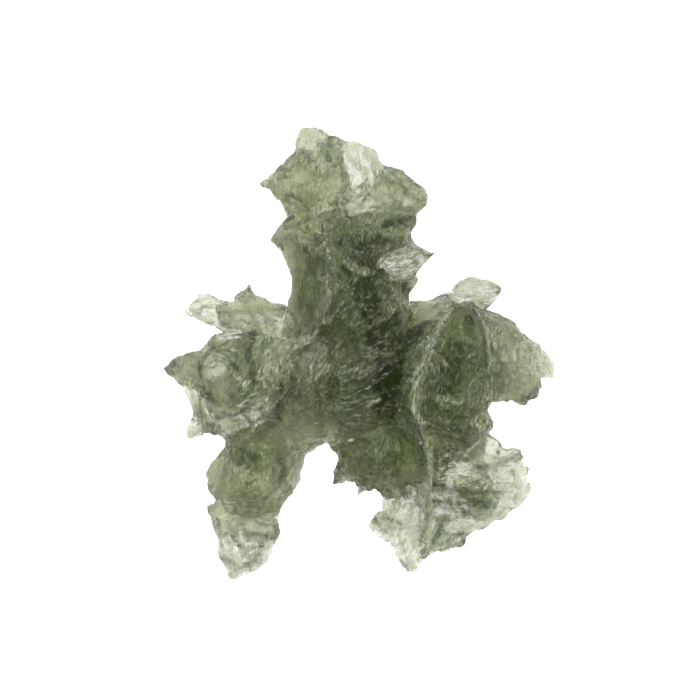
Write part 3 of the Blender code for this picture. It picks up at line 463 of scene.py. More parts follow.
# %% The strokes of the cup and the shoulder
MARKS.update({
    "cup": (0.72, 1.3, [(-12.3, -0.9), (-11.8, -1.5)]),
    "cup second": (0.7, 0.6, [(-10.9, 0.3), (-10.5, -0.6)]),
    "cup ring": (-0.85, 0.3, [(-13.5, -2.2), (-13.6, -0.8), (-12.4, 0.4), (-11.4, -0.2), (-10.4, -1.4)]),
    "cup scribble": (0.8, 0.4, [(-10.6, -1.9), (-9.6, -2.6)]),
    "cup back": (-0.8, 0.6, [(-9.0, 1.8), (-9.4, 0.4), (-9.2, -1.0), (-8.8, -2.6)]),
    "cup floor": (-0.75, 0.6, [(-12.9, -3.4), (-12.1, -4.5)]),
    "cup floor two": (-0.5, 0.5, [(-11.4, -3.0), (-10.6, -4.0)]),
    "cup floor line": (-0.8, 0.3, [(-12.6, -5.0), (-11.6, -5.0)]),
    "spike tip": (-0.8, 0.9, [(-16.4, -1.4), (-15.6, -1.2)]),
    "cup left rim": (0.7, 0.7, [(-14.6, -2.4), (-13.9, -3.4), (-14.1, -4.6)]),
    "cup low tip": (0.9, 0.5, [(-14.3, -6.8), (-13.6, -6.4)]),
    "cup low tip shade": (-0.7, 0.4, [(-12.8, -6.0), (-11.9, -6.3)]),
    "shoulder arc": (0.6, 0.7, [(-7.4, 1.6), (-8.2, -0.6), (-8.2, -2.8)]),
    "shoulder sweep": (0.72, 0.95, [(-7.7, -4.4), (-8.8, -5.1), (-11.2, -6.2)]),
    "sweep line": (0.75, 0.3, [(-12.4, -4.8), (-10.6, -4.8), (-8.8, -3.4)]),
    "sweep line two": (-0.7, 0.28, [(-12.4, -5.6), (-10.6, -5.3), (-8.8, -4.2)]),
    "shoulder shade": (-0.7, 0.9, [(-6.8, -4.6), (-7.6, -5.8)]),
    "shoulder crease": (-0.7, 0.32, [(-6.6, -2.2), (-6.4, -3.6), (-7.0, -4.4)]),
    "shoulder crease two": (-0.6, 0.4, [(-5.4, -1.0), (-5.6, -2.2), (-5.6, -3.8)]),
    "inner shoulder": (0.55, 1.2, [(-4.6, 1.0), (-3.6, 0.5), (-3.4, -0.8), (-4.2, -2.0)]),
})
print("strokes so far", len(MARKS))

# %% The strokes of the flap and the arm
MARKS.update({
    "flap tip": (0.7, 1.15, [(-14.0, 3.5), (-12.6, 2.9)]),
    "flap tip heart": (0.9, 0.5, [(-14.1, 3.4), (-13.4, 2.9)]),
    "flap low": (0.9, 0.45, [(-11.8, 1.3), (-10.4, 1.4)]),
    "flap shade": (-0.5, 0.5, [(-11.6, 3.2), (-11.2, 2.2)]),
    "flap spike": (-0.5, 0.4, [(-9.4, 5.2), (-9.8, 4.0)]),
    "flap line": (-0.5, 0.2, [(-9.6, 3.8), (-8.6, 2.4)]),
    "flap streak": (0.85, 0.5, [(-8.6, 3.0), (-6.7, 2.3)]),
    "arm": (0.94, 1.0, [(8.4, 4.8), (10.0, 5.4), (10.8, 5.0)]),
    "arm tip": (-0.8, 0.4, [(11.2, 5.8), (11.9, 5.2)]),
    "arm root": (-0.3, 0.7, [(4.6, 3.0), (5.6, 3.6)]),
})
print("strokes", len(MARKS))

# %% [markdown]
# ## The distance from a path
#
# A stroke covers what is near its path. A curve object could be laid over the skin and the nearest
# point on it looked for, but a path of straight segments needs only a little geometry. The
# nearest place on a segment is where a square line from the point meets it, or one of its ends.

# %% Distance from a path
def beside_segment(points, start, end):
    """How far along a segment of a path each point lies, from 0 to 1, and how far from it."""
    run = np.array((end[0] - start[0], end[1] - start[1]))
    offset = points[:, :2] - start
    share = np.clip(offset @ run / (run @ run), 0.0, 1.0)
    return share, np.hypot(*(offset - share[:, None] * run).T)


def path_distance(points, path):
    """How far each point is from a path, seen from above."""
    return np.min([beside_segment(points, start, end)[1] for start, end in zip(path, path[1:])], axis=0)


to_coat = path_distance(points_of(skin), MARKS["crown coat"][2])
print("from the crown's coat, mm", to_coat.min().round(1), "to", to_coat.max().round(1))

# %% [markdown]
# ## How deep the glass is
#
# Light comes up through the stone, so how deep the glass is decides how dark it looks from above.
# The back of this stone isn't seen, but its hollows are: each pale patch in the middle of a lobe is
# a place where the etching ate in from behind. Painting the patches would be easier, but then they
# would stay pale from the side too. So each patch says how many millimetres of glass it has, and
# points that face down are moved until that is so. The strokes add to that, by their strength.
# The three spurs that the stone lies on keep their depth, so they can show from above as dark
# spots. The one under the foot does, and its middle leans over to where the foot is dark anyway.

# %% Patches of thin and thick glass
# In millimetres: the least glass to leave, how much a stroke of full strength takes away, and
# how far under the skin a look through the stone starts
LEAST_GLASS = 0.9
THINNED = 0.8
PEEP = 0.03

# The most that the back is moved down, as a share of the glass there, how fast the moves come in
# as the skin turns down, and how often they are evened out
MOST_SWELLING = 0.5
DOWN_FULL = 2.0
BACK_PASSES = 4

# The spurs that the stone lies on: X and Y of each one's foot, and how far around it nothing moves
SPURS = {"leg": (-9.65, -12.78), "foot": (9.4, -12.12), "neck": (-1.44, 10.52)}
SPUR_ROOM = 0.8

# How far the spur under the foot leans in X and Y, how far around it the skin goes along, how high
# up, and the depths over which the lean fades out there and at the floor
LEAN = (0.9, -0.7)
LEAN_REACH = 3.0
LEAN_TOP = 5.6
LEAN_TOP_FADE = 1.5
LEAN_FOOT_FADE = 2.0

# A patch is full up to this share of its radius, and fades from there to the radius
PATCH_FULL = 0.5

# X and Y of the middle, radius, and the depth of glass there. Later rows lie over earlier ones
GLASS_DEPTHS = {
    "crown left": ((-4.4, 15.0), 2.6, 3.4),
    "crown middle": ((-2.2, 14.2), 1.8, 4.0),
    "crown left peak": ((-4.2, 17.8), 1.6, 2.4),
    "crown peak": ((-0.4, 16.8), 1.8, 1.6),
    "crown swirl": ((0.2, 14.6), 1.5, 1.8),
    "crown right": ((3.4, 13.8), 2.2, 3.6),
    "crown right side": ((4.8, 12.7), 1.4, 3.2),
    "crown fold": ((-5.0, 12.6), 1.6, 4.4),
    "crown foot": ((0.2, 12.2), 2.2, 2.0),
    "sill": ((3.4, 10.7), 1.6, 6.4),
    "sill left": ((0.8, 10.9), 1.2, 3.8),
    "neck left top": ((-4.8, 8.2), 1.8, 4.8),
    "neck left": ((-4.7, 5.2), 2.0, 6.4),
    "neck left foot": ((-4.4, 2.8), 1.6, 4.6),
    "inner shoulder": ((-3.5, 0.2), 2.4, 2.8),
    "inner shoulder low": ((-4.4, -2.0), 1.8, 3.0),
    "shoulder": ((-7.0, -1.4), 2.2, 3.8),
    "shoulder low": ((-8.0, -4.6), 1.6, 2.4),
    "shoulder sweep": ((-9.6, -5.6), 1.6, 1.8),
    "low shoulder": ((-5.8, -4.8), 1.6, 4.6),
    "low heart left": ((-4.0, -5.8), 1.6, 4.6),
    "low heart": ((-2.2, -6.0), 1.8, 3.6),
    "cup": ((-12.0, -1.6), 1.8, 2.4),
    "cup floor": ((-12.2, -4.0), 1.4, 3.8),
    "cup ring": ((-10.8, -3.0), 1.2, 3.6),
    "spike": ((-15.4, -1.2), 1.4, 3.8),
    "cup left rim": ((-14.1, -3.6), 1.2, 1.2),
    "cup low tip": ((-14.0, -6.4), 1.4, 1.4),
    "flap": ((-8.4, 3.2), 2.2, 2.9),
    "flap far": ((-10.4, 3.3), 1.8, 2.8),
    "flap tip": ((-13.2, 3.4), 1.8, 1.3),
    "leg top": ((-8.4, -8.6), 2.6, 6.0),
    "leg middle": ((-8.8, -11.0), 2.2, 4.3),
    "leg left": ((-11.8, -10.0), 1.8, 3.4),
    "leg right": ((-5.6, -10.0), 1.8, 2.4),
    "leg low": ((-9.4, -15.2), 2.4, 2.4),
    "leg tip": ((-9.8, -17.2), 2.4, 1.2),
    "keel": ((1.8, -9.8), 1.8, 5.8),
    "foot green": ((8.6, -10.6), 3.2, 1.5),
    "foot side": ((11.6, -11.4), 2.4, 1.4),
    "foot corner": ((13.0, -10.6), 1.6, 1.2),
    "foot left": ((3.2, -13.4), 1.8, 1.4),
    "foot middle": ((7.2, -13.2), 1.6, 1.4),
    "foot rays": ((6.6, -15.0), 1.8, 2.2),
    "foot low": ((8.8, -14.8), 1.6, 2.0),
    "foot low side": ((11.6, -13.2), 1.6, 2.0),
    "foot point": ((4.2, -17.6), 1.6, 1.2),
    "fin low": ((5.0, -13.8), 1.0, 1.0),
    "foot hollow": ((10.4, -12.8), 1.2, 3.6),
    "leaf top": ((8.4, 1.2), 1.8, 6.0),
    "leaf low": ((7.2, -5.6), 1.6, 7.0),
    "leaf hollow": ((8.6, -7.4), 1.4, 4.8),
    "leaf right": ((13.2, -0.6), 2.4, 3.0),
    "leaf tab": ((15.9, -0.8), 1.4, 1.6),
    "arm": ((9.8, 5.2), 1.8, 2.4),
    "arm root": ((6.2, 3.8), 1.4, 2.8),
    "arm foot": ((4.8, 2.4), 1.4, 3.4),
    "flake": ((3.6, 7.0), 1.6, 2.4),
}


def tree_of(mesh):
    """The mesh in a form that finds quickly what a ray hits."""
    shape = bmesh.new()
    shape.from_mesh(mesh)
    tree = BVHTree.FromBMesh(shape)
    shape.free()
    return tree


def glass_above(mesh):
    """How much glass is straight above each point that faces down, in millimetres."""
    tree = tree_of(mesh)
    up = Vector((0.0, 0.0, 1.0))
    found = np.zeros(len(mesh.vertices))
    for index, point in enumerate(mesh.vertices):
        if point.normal.z < 0.0:
            distance = tree.ray_cast(point.co + up * PEEP * MM, up)[3]
            found[index] = (distance or 0.0) / MM
    return found


def wanted_glass(points, glass):
    """How much glass the patches and the strokes leave above each point."""
    wanted = glass.copy()
    for (x, y), radius, depth in GLASS_DEPTHS.values():
        away = np.hypot(points[:, 0] - x, points[:, 1] - y) / radius
        share = np.clip((1.0 - away) / (1.0 - PATCH_FULL), 0.0, 1.0)
        wanted += (depth - wanted) * share
    for strength, width, path in MARKS.values():
        away = path_distance(points, path) / width
        wanted -= THINNED * strength * np.clip(1.0 - away**2, 0.0, 1.0)
    return np.maximum(wanted, LEAST_GLASS)


def lean_spur(mesh):
    """Leans the middle of the spur under the foot over to where it shows dark from above."""
    points = points_of(mesh)
    away = np.linalg.norm(points[:, :2] - SPURS["foot"], axis=1) / LEAN_REACH
    hold = np.clip(1.0 - away**2, 0.0, 1.0)
    top_fade = np.clip((LEAN_TOP - points[:, 2]) / LEAN_TOP_FADE, 0.0, 1.0)
    hold *= top_fade * np.clip(points[:, 2] / LEAN_FOOT_FADE, 0.0, 1.0)
    points[:, :2] += hold[:, None] * LEAN
    set_points(mesh, points)


def off_the_spurs(points):
    """0 on the spurs that the stone lies on, 1 away from them."""
    nearest = np.full(len(points), np.inf)
    for foot in SPURS.values():
        nearest = np.minimum(nearest, np.linalg.norm(points[:, :2] - foot, axis=1))
    return np.clip((nearest - SPUR_ROOM) / SPUR_ROOM, 0.0, 1.0)


def shape_back(mesh):
    """Moves what faces down until the glass above it is as deep as it should be."""
    free = off_the_spurs(points_of(mesh))
    lean_spur(mesh)
    points = points_of(mesh)
    glass = glass_above(mesh)
    highest = np.clip(glass - LEAST_GLASS, 0.0, None)
    move = np.clip(glass - wanted_glass(points, glass), -MOST_SWELLING * glass, highest)
    move *= np.clip(-facing_of(mesh)[:, 2] * DOWN_FULL, 0.0, 1.0)
    move *= free
    ends, count = neighbours_of(mesh)
    points[:, 2] += evened(move, ends, count, BACK_PASSES)
    set_points(mesh, points)
    return move


print("back moved by, mm", np.percentile(shape_back(skin), (0, 50, 100)).round(2))

# %% [markdown]
# ## Thin rims
#
# Real etched lobes run out to a rim like the edge of a chipped bottle, and their spikes end in
# needle points. The solid's rims are blunter, because it has to keep to few triangles.
# Looking straight in from each point tells how thick the stone is there. Where it is thin, the
# skin is drawn in a little. The very tip of a spike looks in along its whole length and would
# stay as it is, like a ball on a needle. So each point first takes over its neighbours' value.

# %% Draw the rims out thin
# Glass thinner than this is drawn in, in millimetres. A rim keeps this share of it, and the moves
# spread to their neighbours and are evened out so many times
THIN = 2.4
RIM_SHARE = 0.55
SPREAD_PASSES = 3
EVEN_PASSES = 3


def thickness_of(mesh):
    """How much glass there is straight in from each point of the skin, in millimetres."""
    tree = tree_of(mesh)
    found = np.empty(len(mesh.vertices))
    for index, point in enumerate(mesh.vertices):
        inward = -point.normal
        distance = tree.ray_cast(point.co + inward * PEEP * MM, inward)[3]
        found[index] = (distance or 0.0) / MM + PEEP
    return found


def draw_rims_thin(mesh):
    """Draws the skin in where the stone is thin. Returns how thick it was at each point."""
    thick = thickness_of(mesh)
    share = RIM_SHARE + (1.0 - RIM_SHARE) * np.clip(thick / THIN, 0.0, 1.0)
    inward = np.clip(thick, 0.0, THIN) * (1.0 - share) / 2.0
    ends, count = neighbours_of(mesh)
    for _ in range(SPREAD_PASSES):
        largest = inward.copy()
        np.maximum.at(largest, ends[:, 0], inward[ends[:, 1]])
        np.maximum.at(largest, ends[:, 1], inward[ends[:, 0]])
        inward = largest
    inward = evened(inward, ends, count, EVEN_PASSES)
    set_points(mesh, points_of(mesh) - facing_of(mesh) * inward[:, None])
    return thick


thick = draw_rims_thin(skin)
print("glass under the skin, mm", np.percentile(thick, (5, 50, 95)).round(1))

# %% [markdown]
# ## Knife-edged ridges
#
# Between two hollows the etching leaves a ridge with a sharp top and hollow flanks. The solid has
# the biggest of them. The ones a step finer could be modelled as swept blades, but a blade laid on
# a lumpy skin leaves gaps. Here each ridge is a path seen from above, and the skin is lifted
# towards it: the nearer a point is to the path, the faster it rises, which gives the sharp top.

# %% Lay the ridges
# How hollow a ridge's flanks are, the least that the skin under it must face up, and how fast
# the ridge comes up to its full height as the skin faces up more
RIDGE_POWER = 1.6
UPWARD = 0.15
UPWARD_POWER = 0.5

# Half width, and the points of the path: X, Y and the ridge's height there, in millimetres
RIDGES = {
    "fin edge": (0.83, [
        (6.2, 2.2, 0.15), (4.9, 0.4, 0.24), (4.1, -1.4, 0.24), (4.1, -4.2, 0.28), (4.7, -5.8, 0.42),
        (5.4, -8.0, 0.5), (5.9, -10.4, 0.55), (5.7, -12.8, 0.44), (4.8, -15.7, 0.33), (4.2, -18.2, 0.11),
    ]),
    "fin top": (0.6, [
        (7.8, 3.6, 0.1), (7.4, 1.4, 0.16), (6.3, 0.0, 0.16), (5.6, -2.0, 0.12), (4.9, -4.6, 0.05),
    ]),
    "fin split": (0.75, [(5.0, -5.0, 0.27), (6.2, -7.4, 0.45), (6.9, -10.0, 0.36), (5.9, -12.4, 0.18)]),
    "leaf ray one": (0.52, [(10.4, 2.9, 0.15), (11.2, 0.0, 0.26), (11.6, -3.4, 0.15)]),
    "leaf ray two": (0.52, [(12.6, 2.4, 0.15), (12.4, -0.6, 0.22), (11.8, -3.4, 0.15)]),
    "leaf ray three": (0.52, [(14.6, 0.6, 0.08), (13.6, -1.4, 0.22), (12.2, -3.6, 0.15)]),
    "neck crest": (0.75, [
        (-4.3, 12.4, 0.12), (-4.3, 10.8, 0.2), (-3.0, 9.2, 0.2), (-2.3, 7.4, 0.16), (-2.5, 5.0, 0.12),
        (-2.6, 3.2, 0.12), (-3.6, 1.6, 0.05),
    ]),
    "neck branch": (0.6, [(-3.7, 1.5, 0.1), (-2.4, 2.9, 0.18), (-1.4, 4.4, 0.1)]),
    "neck fold": (0.6, [(-1.6, 1.0, 0.15), (0.6, 1.8, 0.3), (3.0, 3.6, 0.22)]),
    "crown sill": (0.9, [
        (-4.6, 11.4, 0.12), (-3.0, 10.8, 0.3), (-0.8, 11.0, 0.36), (1.8, 11.3, 0.36), (3.4, 11.9, 0.3),
        (4.7, 11.5, 0.12),
    ]),
    "crown left fold": (0.75, [
        (-4.4, 18.5, 0.13), (-5.3, 16.4, 0.48), (-4.4, 13.5, 0.48), (-4.3, 12.7, 0.13),
    ]),
    "crown middle fold": (0.75, [
        (-1.9, 17.8, 0.14), (0.4, 15.3, 0.54), (0.7, 13.5, 0.54), (-0.8, 11.8, 0.27),
    ]),
    "crown right fold": (0.75, [(0.4, 17.0, 0.13), (2.6, 14.8, 0.48), (5.0, 13.4, 0.13)]),
    "cup lip": (0.6, [(-12.4, -2.4, 0.15), (-12.8, -1.1, 0.3), (-11.5, 0.2, 0.3), (-10.1, 0.2, 0.15)]),
    "shoulder line one": (0.68, [
        (-7.6, 1.7, 0.1), (-9.1, -0.5, 0.27), (-9.4, -2.4, 0.27), (-10.7, -4.0, 0.21), (-12.2, -4.8, 0.1),
    ]),
    "shoulder line two": (0.75, [
        (-5.9, 1.3, 0.07), (-7.2, -1.9, 0.19), (-9.1, -5.1, 0.23), (-11.2, -6.5, 0.19), (-13.1, -6.2, 0.07),
    ]),
    "leg band": (0.75, [
        (-3.4, -7.4, 0.15), (-4.8, -8.3, 0.38), (-5.9, -10.4, 0.38), (-7.2, -12.3, 0.22),
        (-7.8, -14.4, 0.15),
    ]),
    "leg left rib": (0.68, [(-11.0, -8.0, 0.15), (-11.8, -10.4, 0.3), (-12.3, -12.2, 0.15)]),
    "leg tip": (0.68, [(-12.3, -14.1, 0.08), (-11.0, -17.4, 0.3), (-9.1, -16.5, 0.3), (-8.1, -15.5, 0.08)]),
    "foot arch": (0.68, [(6.0, -11.7, 0.22), (8.7, -12.4, 0.38), (9.2, -14.0, 0.22), (8.0, -15.6, 0.08)]),
    "foot top": (0.68, [(9.8, -12.0, 0.15), (11.6, -11.7, 0.3), (13.8, -11.2, 0.15)]),
    "foot left": (0.6, [(1.3, -14.4, 0.08), (3.1, -13.3, 0.3), (5.0, -12.5, 0.22)]),
    "flap spike": (0.6, [(-9.4, 5.3, 0.08), (-8.8, 3.9, 0.3), (-8.0, 2.3, 0.22)]),
    "flap back": (0.6, [(-13.9, 4.3, 0.08), (-11.7, 3.7, 0.22), (-9.1, 4.0, 0.22)]),
    "heart line one": (0.6, [(-3.0, -4.8, 0.15), (-1.0, -4.2, 0.38), (1.2, -3.6, 0.22)]),
    "heart line two": (0.6, [(-1.7, -2.4, 0.15), (0.4, -1.8, 0.3), (2.4, -1.0, 0.15)]),
    "keel line": (0.6, [(-1.9, -8.0, 0.15), (-1.4, -9.9, 0.3), (-0.4, -11.6, 0.15)]),
    "keel spine": (0.6, [(3.2, -7.4, 0.22), (3.4, -9.1, 0.38), (3.6, -11.0, 0.22)]),
    "flake facet": (0.45, [(2.2, 7.2, 0.08), (3.6, 7.4, 0.19), (5.4, 8.0, 0.08)]),
}


def ridge_lift(points, path, width):
    """How much one ridge lifts each point."""
    lift = np.zeros(len(points))
    for (*start, high0), (*end, high1) in zip(path, path[1:]):
        share, away = beside_segment(points, start, end)
        high = high0 + (high1 - high0) * share
        lift = np.maximum(lift, high * np.clip(1.0 - away / width, 0.0, 1.0) ** RIDGE_POWER)
    return lift


def lay_ridges(mesh):
    """Lifts the skin along all the ridges, where it faces up."""
    points = points_of(mesh)
    upward = np.clip((facing_of(mesh)[:, 2] - UPWARD) / (1.0 - UPWARD), 0.0, 1.0) ** UPWARD_POWER
    lift = np.zeros(len(points))
    for width, path in RIDGES.values():
        lift = np.maximum(lift, ridge_lift(points, path, width))
    points[:, 2] += lift * upward
    set_points(mesh, points)


lay_ridges(skin)
print("ridges", len(RIDGES))

# %% [markdown]
# ## Which way the etching runs
#
# Etching eats hollows side by side until they meet in sharp edges, and on the real stone they are
# drawn out along each lobe. One direction for the whole stone would be simpler, but its flutes
# would cross half of the lobes. So each lobe has its own direction, and where two lobes meet,
# their shares change over little by little.

# %% The run of the etching
# How far a run reaches, in millimetres, and the least share of a place that it is used for
REACH = 3.6
LEAST_SHARE = 0.06

# Where each part of the stone is, which way its flutes run, in plan, and how strong its scoops
# and its fine pits are
RUNS = {
    "crown": ((-0.5, 15.5), (0.25, 1.0), 0.7, 0.5),
    "upper neck": ((0.5, 9.0), (0.1, 1.0), 0.8, 1.2),
    "smooth neck": ((-4.6, 6.0), (0.1, 1.0), 0.35, 0.6),
    "lower neck": ((1.0, 4.0), (0.65, 1.0), 1.0, 1.5),
    "heart": ((1.0, -1.5), (1.0, 0.5), 0.7, 1.1),
    "low heart": ((-1.0, -5.5), (1.0, 0.3), 0.7, 0.9),
    "shoulder": ((-7.0, -2.0), (0.3, 1.0), 1.0, 1.4),
    "inner shoulder": ((-4.0, -0.5), (0.5, 1.0), 0.5, 1.0),
    "cup": ((-12.5, -2.5), (0.3, 1.0), 0.9, 1.3),
    "cup rim": ((-14.4, -4.0), (0.1, 1.0), 0.6, 0.6),
    "sweep": ((-9.8, -5.6), (1.0, 0.45), 0.9, 1.1),
    "flap": ((-11.0, 3.5), (1.0, -0.2), 0.9, 1.0),
    "leg": ((-8.8, -10.0), (0.3, 1.0), 0.9, 1.2),
    "leg left": ((-12.0, -9.8), (0.4, 1.0), 0.8, 1.2),
    "leg right": ((-5.8, -10.6), (0.6, 1.0), 0.8, 1.0),
    "leg low": ((-9.6, -13.8), (1.0, 0.2), 0.9, 1.0),
    "leg tip": ((-10.0, -16.8), (-0.3, 1.0), 0.9, 1.0),
    "keel": ((1.0, -9.5), (0.3, 1.0), 1.0, 1.4),
    "foot": ((4.8, -15.0), (0.35, 1.0), 1.0, 1.2),
    "foot middle": ((8.0, -11.6), (1.0, -0.1), 0.9, 1.2),
    "foot side": ((12.4, -11.6), (1.0, 0.7), 1.0, 1.2),
    "leaf": ((7.5, -2.0), (0.2, 1.0), 1.1, 1.6),
    "leaf tip": ((13.0, -0.5), (0.5, -1.0), 0.9, 1.0),
    "arm": ((9.5, 5.0), (1.0, 0.4), 0.8, 0.9),
    "flake": ((3.9, 7.4), (1.0, 0.35), 0.25, 0.25),
}


def run_shares(points):
    """For each run, its direction and the share that it has in each point."""
    places = np.array([place for place, _, _, _ in RUNS.values()])
    away = np.linalg.norm(points[:, None, :2] - places[None], axis=2)
    shares = np.exp(-((away / REACH) ** 2)) + TINY
    shares /= shares.sum(axis=1)[:, None]
    shares[shares < LEAST_SHARE] = 0.0
    shares /= shares.sum(axis=1)[:, None]
    directions = [np.array((x, y, 0.0)) / math.hypot(x, y) for _, (x, y), _, _ in RUNS.values()]
    return list(zip(directions, shares.T))


def mixed_strength(runs, column):
    """One of the strengths in RUNS, mixed at each point as the runs are."""
    return sum(share * facts[column] for facts, (_, share) in zip(RUNS.values(), runs))


runs = run_shares(points_of(skin))
print("runs", len(runs))

# %% [markdown]
# ## Hollows of one size
#
# Voronoi cells lie side by side as etched hollows do. The squared distance to the nearest cell
# centre is a round hollow, and two of them meet in a crease. A Displace modifier can use such a
# texture, but it draws the cells out in one direction only. Here the points are squeezed along
# each run before the pattern is read, and then the runs' patterns are mixed by their shares.

# %% Hollows and scratches
# The squared distance at which a hollow's side has its full height, and the highest of a crease
CREASE = 0.7
CREASE_TOP = 1.2


def drawn_out(points, direction, size, stretch):
    """The points in units of one hollow, squeezed along the run, so that hollows come out long."""
    along = np.outer(points @ direction, direction)
    return (points - along * (1.0 - 1.0 / stretch)) / size


def hollows(spots):
    """0 in the middle of a hollow, 1 on the sharp edge between two."""
    edge = [noise.voronoi(spot, distance_metric="DISTANCE_SQUARED")[0][0] for spot in spots]
    return np.clip(np.array(edge) / CREASE, 0.0, CREASE_TOP)


def scratches(spots):
    """0 between scratches, 1 on the fine sharp lines."""
    return np.array([1.0 - abs(noise.noise(spot)) * 2.0 for spot in spots])


def along_the_runs(pattern, points, runs, size, stretch, seed, step):
    """A pattern at each point, drawn out along each run and mixed as the runs are."""
    total = np.zeros(len(points))
    for turn, (direction, share) in enumerate(runs):
        here = np.nonzero(share)[0]
        spots = drawn_out(points[here], direction, size, stretch) + (seed + step * turn)
        total[here] += share[here] * pattern(spots)
    return total


sample = hollows(points_of(skin)[::500])
print("hollow heights", np.percentile(sample, (0, 50, 100)).round(2))

# %% [markdown]
# ## Etched flutes and pits
#
# Four sizes lie over each other, from scoops of a few millimetres to the finest scratches. Each
# point moves in or out, straight from the skin. A bump in the material would be cheaper, but it
# leaves the outline and the rims smooth. Where the glass is thin the moves are small, or else the
# hollows would break through, and at the floor there are none, so that the stone still lies flat.

# %% Etch the skin
# Size, stretch and depth of each kind of hollow
SCOOPS = (2.5, 1.8, 0.50)
FLUTES = (1.2, 2.2, 0.34)
PITS = (0.55, 1.5, 0.22)
LINES = (0.34, 5.0, 0.13)

# Where each kind starts in its pattern, and how far on it is taken from one run to the next
SEEDS = (3.1, 11.7, 23.9, 41.3)
HOLLOW_STEP = 7.3
SCRATCH_STEP = 5.1

# The height in a pattern that stays where it is, the glass that takes the full relief, the least
# share of it, the share on the back, where the back begins, and how high up the feet move less
MIDDLE = 0.4
FULL_RELIEF = 2.6
LEAST_RELIEF = 0.12
BACK_RELIEF = 0.55
BACK_FROM = 0.5
FOOT_HEIGHT = 0.8


def etch(mesh, runs, thick):
    """Moves each point along the way it faces, less where the glass is thin or stands on the floor."""
    points = points_of(mesh)
    coarse = mixed_strength(runs, 2)
    fine = mixed_strength(runs, 3)
    kinds = (
        (SCOOPS, hollows, HOLLOW_STEP, coarse),
        (FLUTES, hollows, HOLLOW_STEP, coarse),
        (PITS, hollows, HOLLOW_STEP, fine),
        (LINES, scratches, SCRATCH_STEP, fine),
    )
    relief = np.zeros(len(points))
    for seed, ((size, stretch, depth), pattern, step, strength) in zip(SEEDS, kinds):
        height = along_the_runs(pattern, points, runs, size, stretch, seed, step)
        relief += strength * depth * (height - MIDDLE)
    relief *= np.clip(thick / FULL_RELIEF, LEAST_RELIEF, 1.0)
    relief *= np.clip(points[:, 2] / FOOT_HEIGHT, 0.0, 1.0)
    relief *= BACK_RELIEF + (1.0 - BACK_RELIEF) * np.clip(facing_of(mesh)[:, 2] + BACK_FROM, 0.0, 1.0)
    moved = points + facing_of(mesh) * relief[:, None]
    moved[:, 2] = np.maximum(moved[:, 2], 0.0)
    set_points(mesh, moved)
    return relief


relief = etch(skin, runs, thick)
print("relief, mm", np.percentile(relief, (1, 50, 99)).round(2))

# %% [markdown]
# ## Fewer triangles, in the right places
#
# The even skin spends as many triangles on a smooth hollow as on a knife edge. Decimate takes them
# away where the skin is nearly flat and keeps them on the edges, so the stone keeps to the count
# of triangles given, and its ridges stay crisp. Edges that turn by more than the crease angle are drawn
# sharp.

# %% The finished skin
# The triangles to keep, and how sharply two must meet to be drawn with an edge between them
TRIANGLES = 196000
SHARP_ANGLE = math.radians(30.0)


def triangle_count(mesh):
    """How many triangles the mesh's faces make."""
    return sum(len(face.vertices) - 2 for face in mesh.polygons)


share_kept = TRIANGLES / triangle_count(skin)
skin = applied(skin, "moldavite_skin", ("DECIMATE", {"ratio": min(1.0, share_kept)}))
skin.shade_smooth()
skin.set_sharp_from_angle(angle=SHARP_ANGLE)
stone = bpy.data.objects.new("moldavite_stone", skin)
bpy.context.scene.collection.objects.link(stone)
print("triangles", triangle_count(skin))

# %% [markdown]
# ## Frost and painted highlights, dullness and painted shade
#
# Etched glass isn't the same all over. Chipped edges and ribs scatter light and look pale and
# frosted; that frost is partly the etched skin and partly painted highlight for the light that
# they catch. Dull places are rougher, and their dark tint is painted shade: the darkness of thick
# glass, of hollows and of slopes turned away from the light. Such marks could be painted in an
# image, but an image has a size and this stone should be good at any distance. So they are the
# strokes again: a light one leaves frost and painted highlight, and a dark one a dull skin with
# painted shade. Where two cross, the later one lies over the earlier one. Their sides are made
# ragged by noise, and the skin itself has a say too: what stands out takes frost and painted
# highlight more easily, and what lies deep takes painted shade, as shade falls in hollows.

# %% Frost, dullness and painted light
# A stroke's side, in half widths: how ragged it is, where it ends, and how steeply it comes up,
# and the size of its raggedness, in millimetres
RAGGED = 0.45
MARK_REACH = 0.87
MARK_FULL = 2.0
RAGGED_SIZE = 0.6

# Strokes lie on what faces up: their share where it faces sideways, and how fast that grows or
# shrinks as it turns up or down
SIDEWAYS = 0.8
TURNING = 4.0

# Without a stroke there is a thin veil of frost on what faces up, and patches of faint frost and
# dullness on what faces down: how strong both are, and the size of the patches, in millimetres
VEIL = 0.14
BACK_PATCHES = 0.25
BACK_PATCH_SIZE = 2.2

# A stroke's frost is green up to one strength and white from the other
GREEN_UNTIL = 0.7
WHITE_FROM = 0.95

# How far a point must stand out for its full say, in millimetres, how large that say is, and how
# often the skin around it is smoothed to tell
# Standing out adds painted highlight to the frost, and lying deep adds painted shade
STANDING_FULL = 0.035
STANDING_SAY = 0.5
STANDING_PASSES = 6


def standing_of(mesh, passes):
    """How far each point stands out from the skin around it, in millimetres."""
    return (stands_off(mesh, passes) * facing_of(mesh)).sum(axis=1)


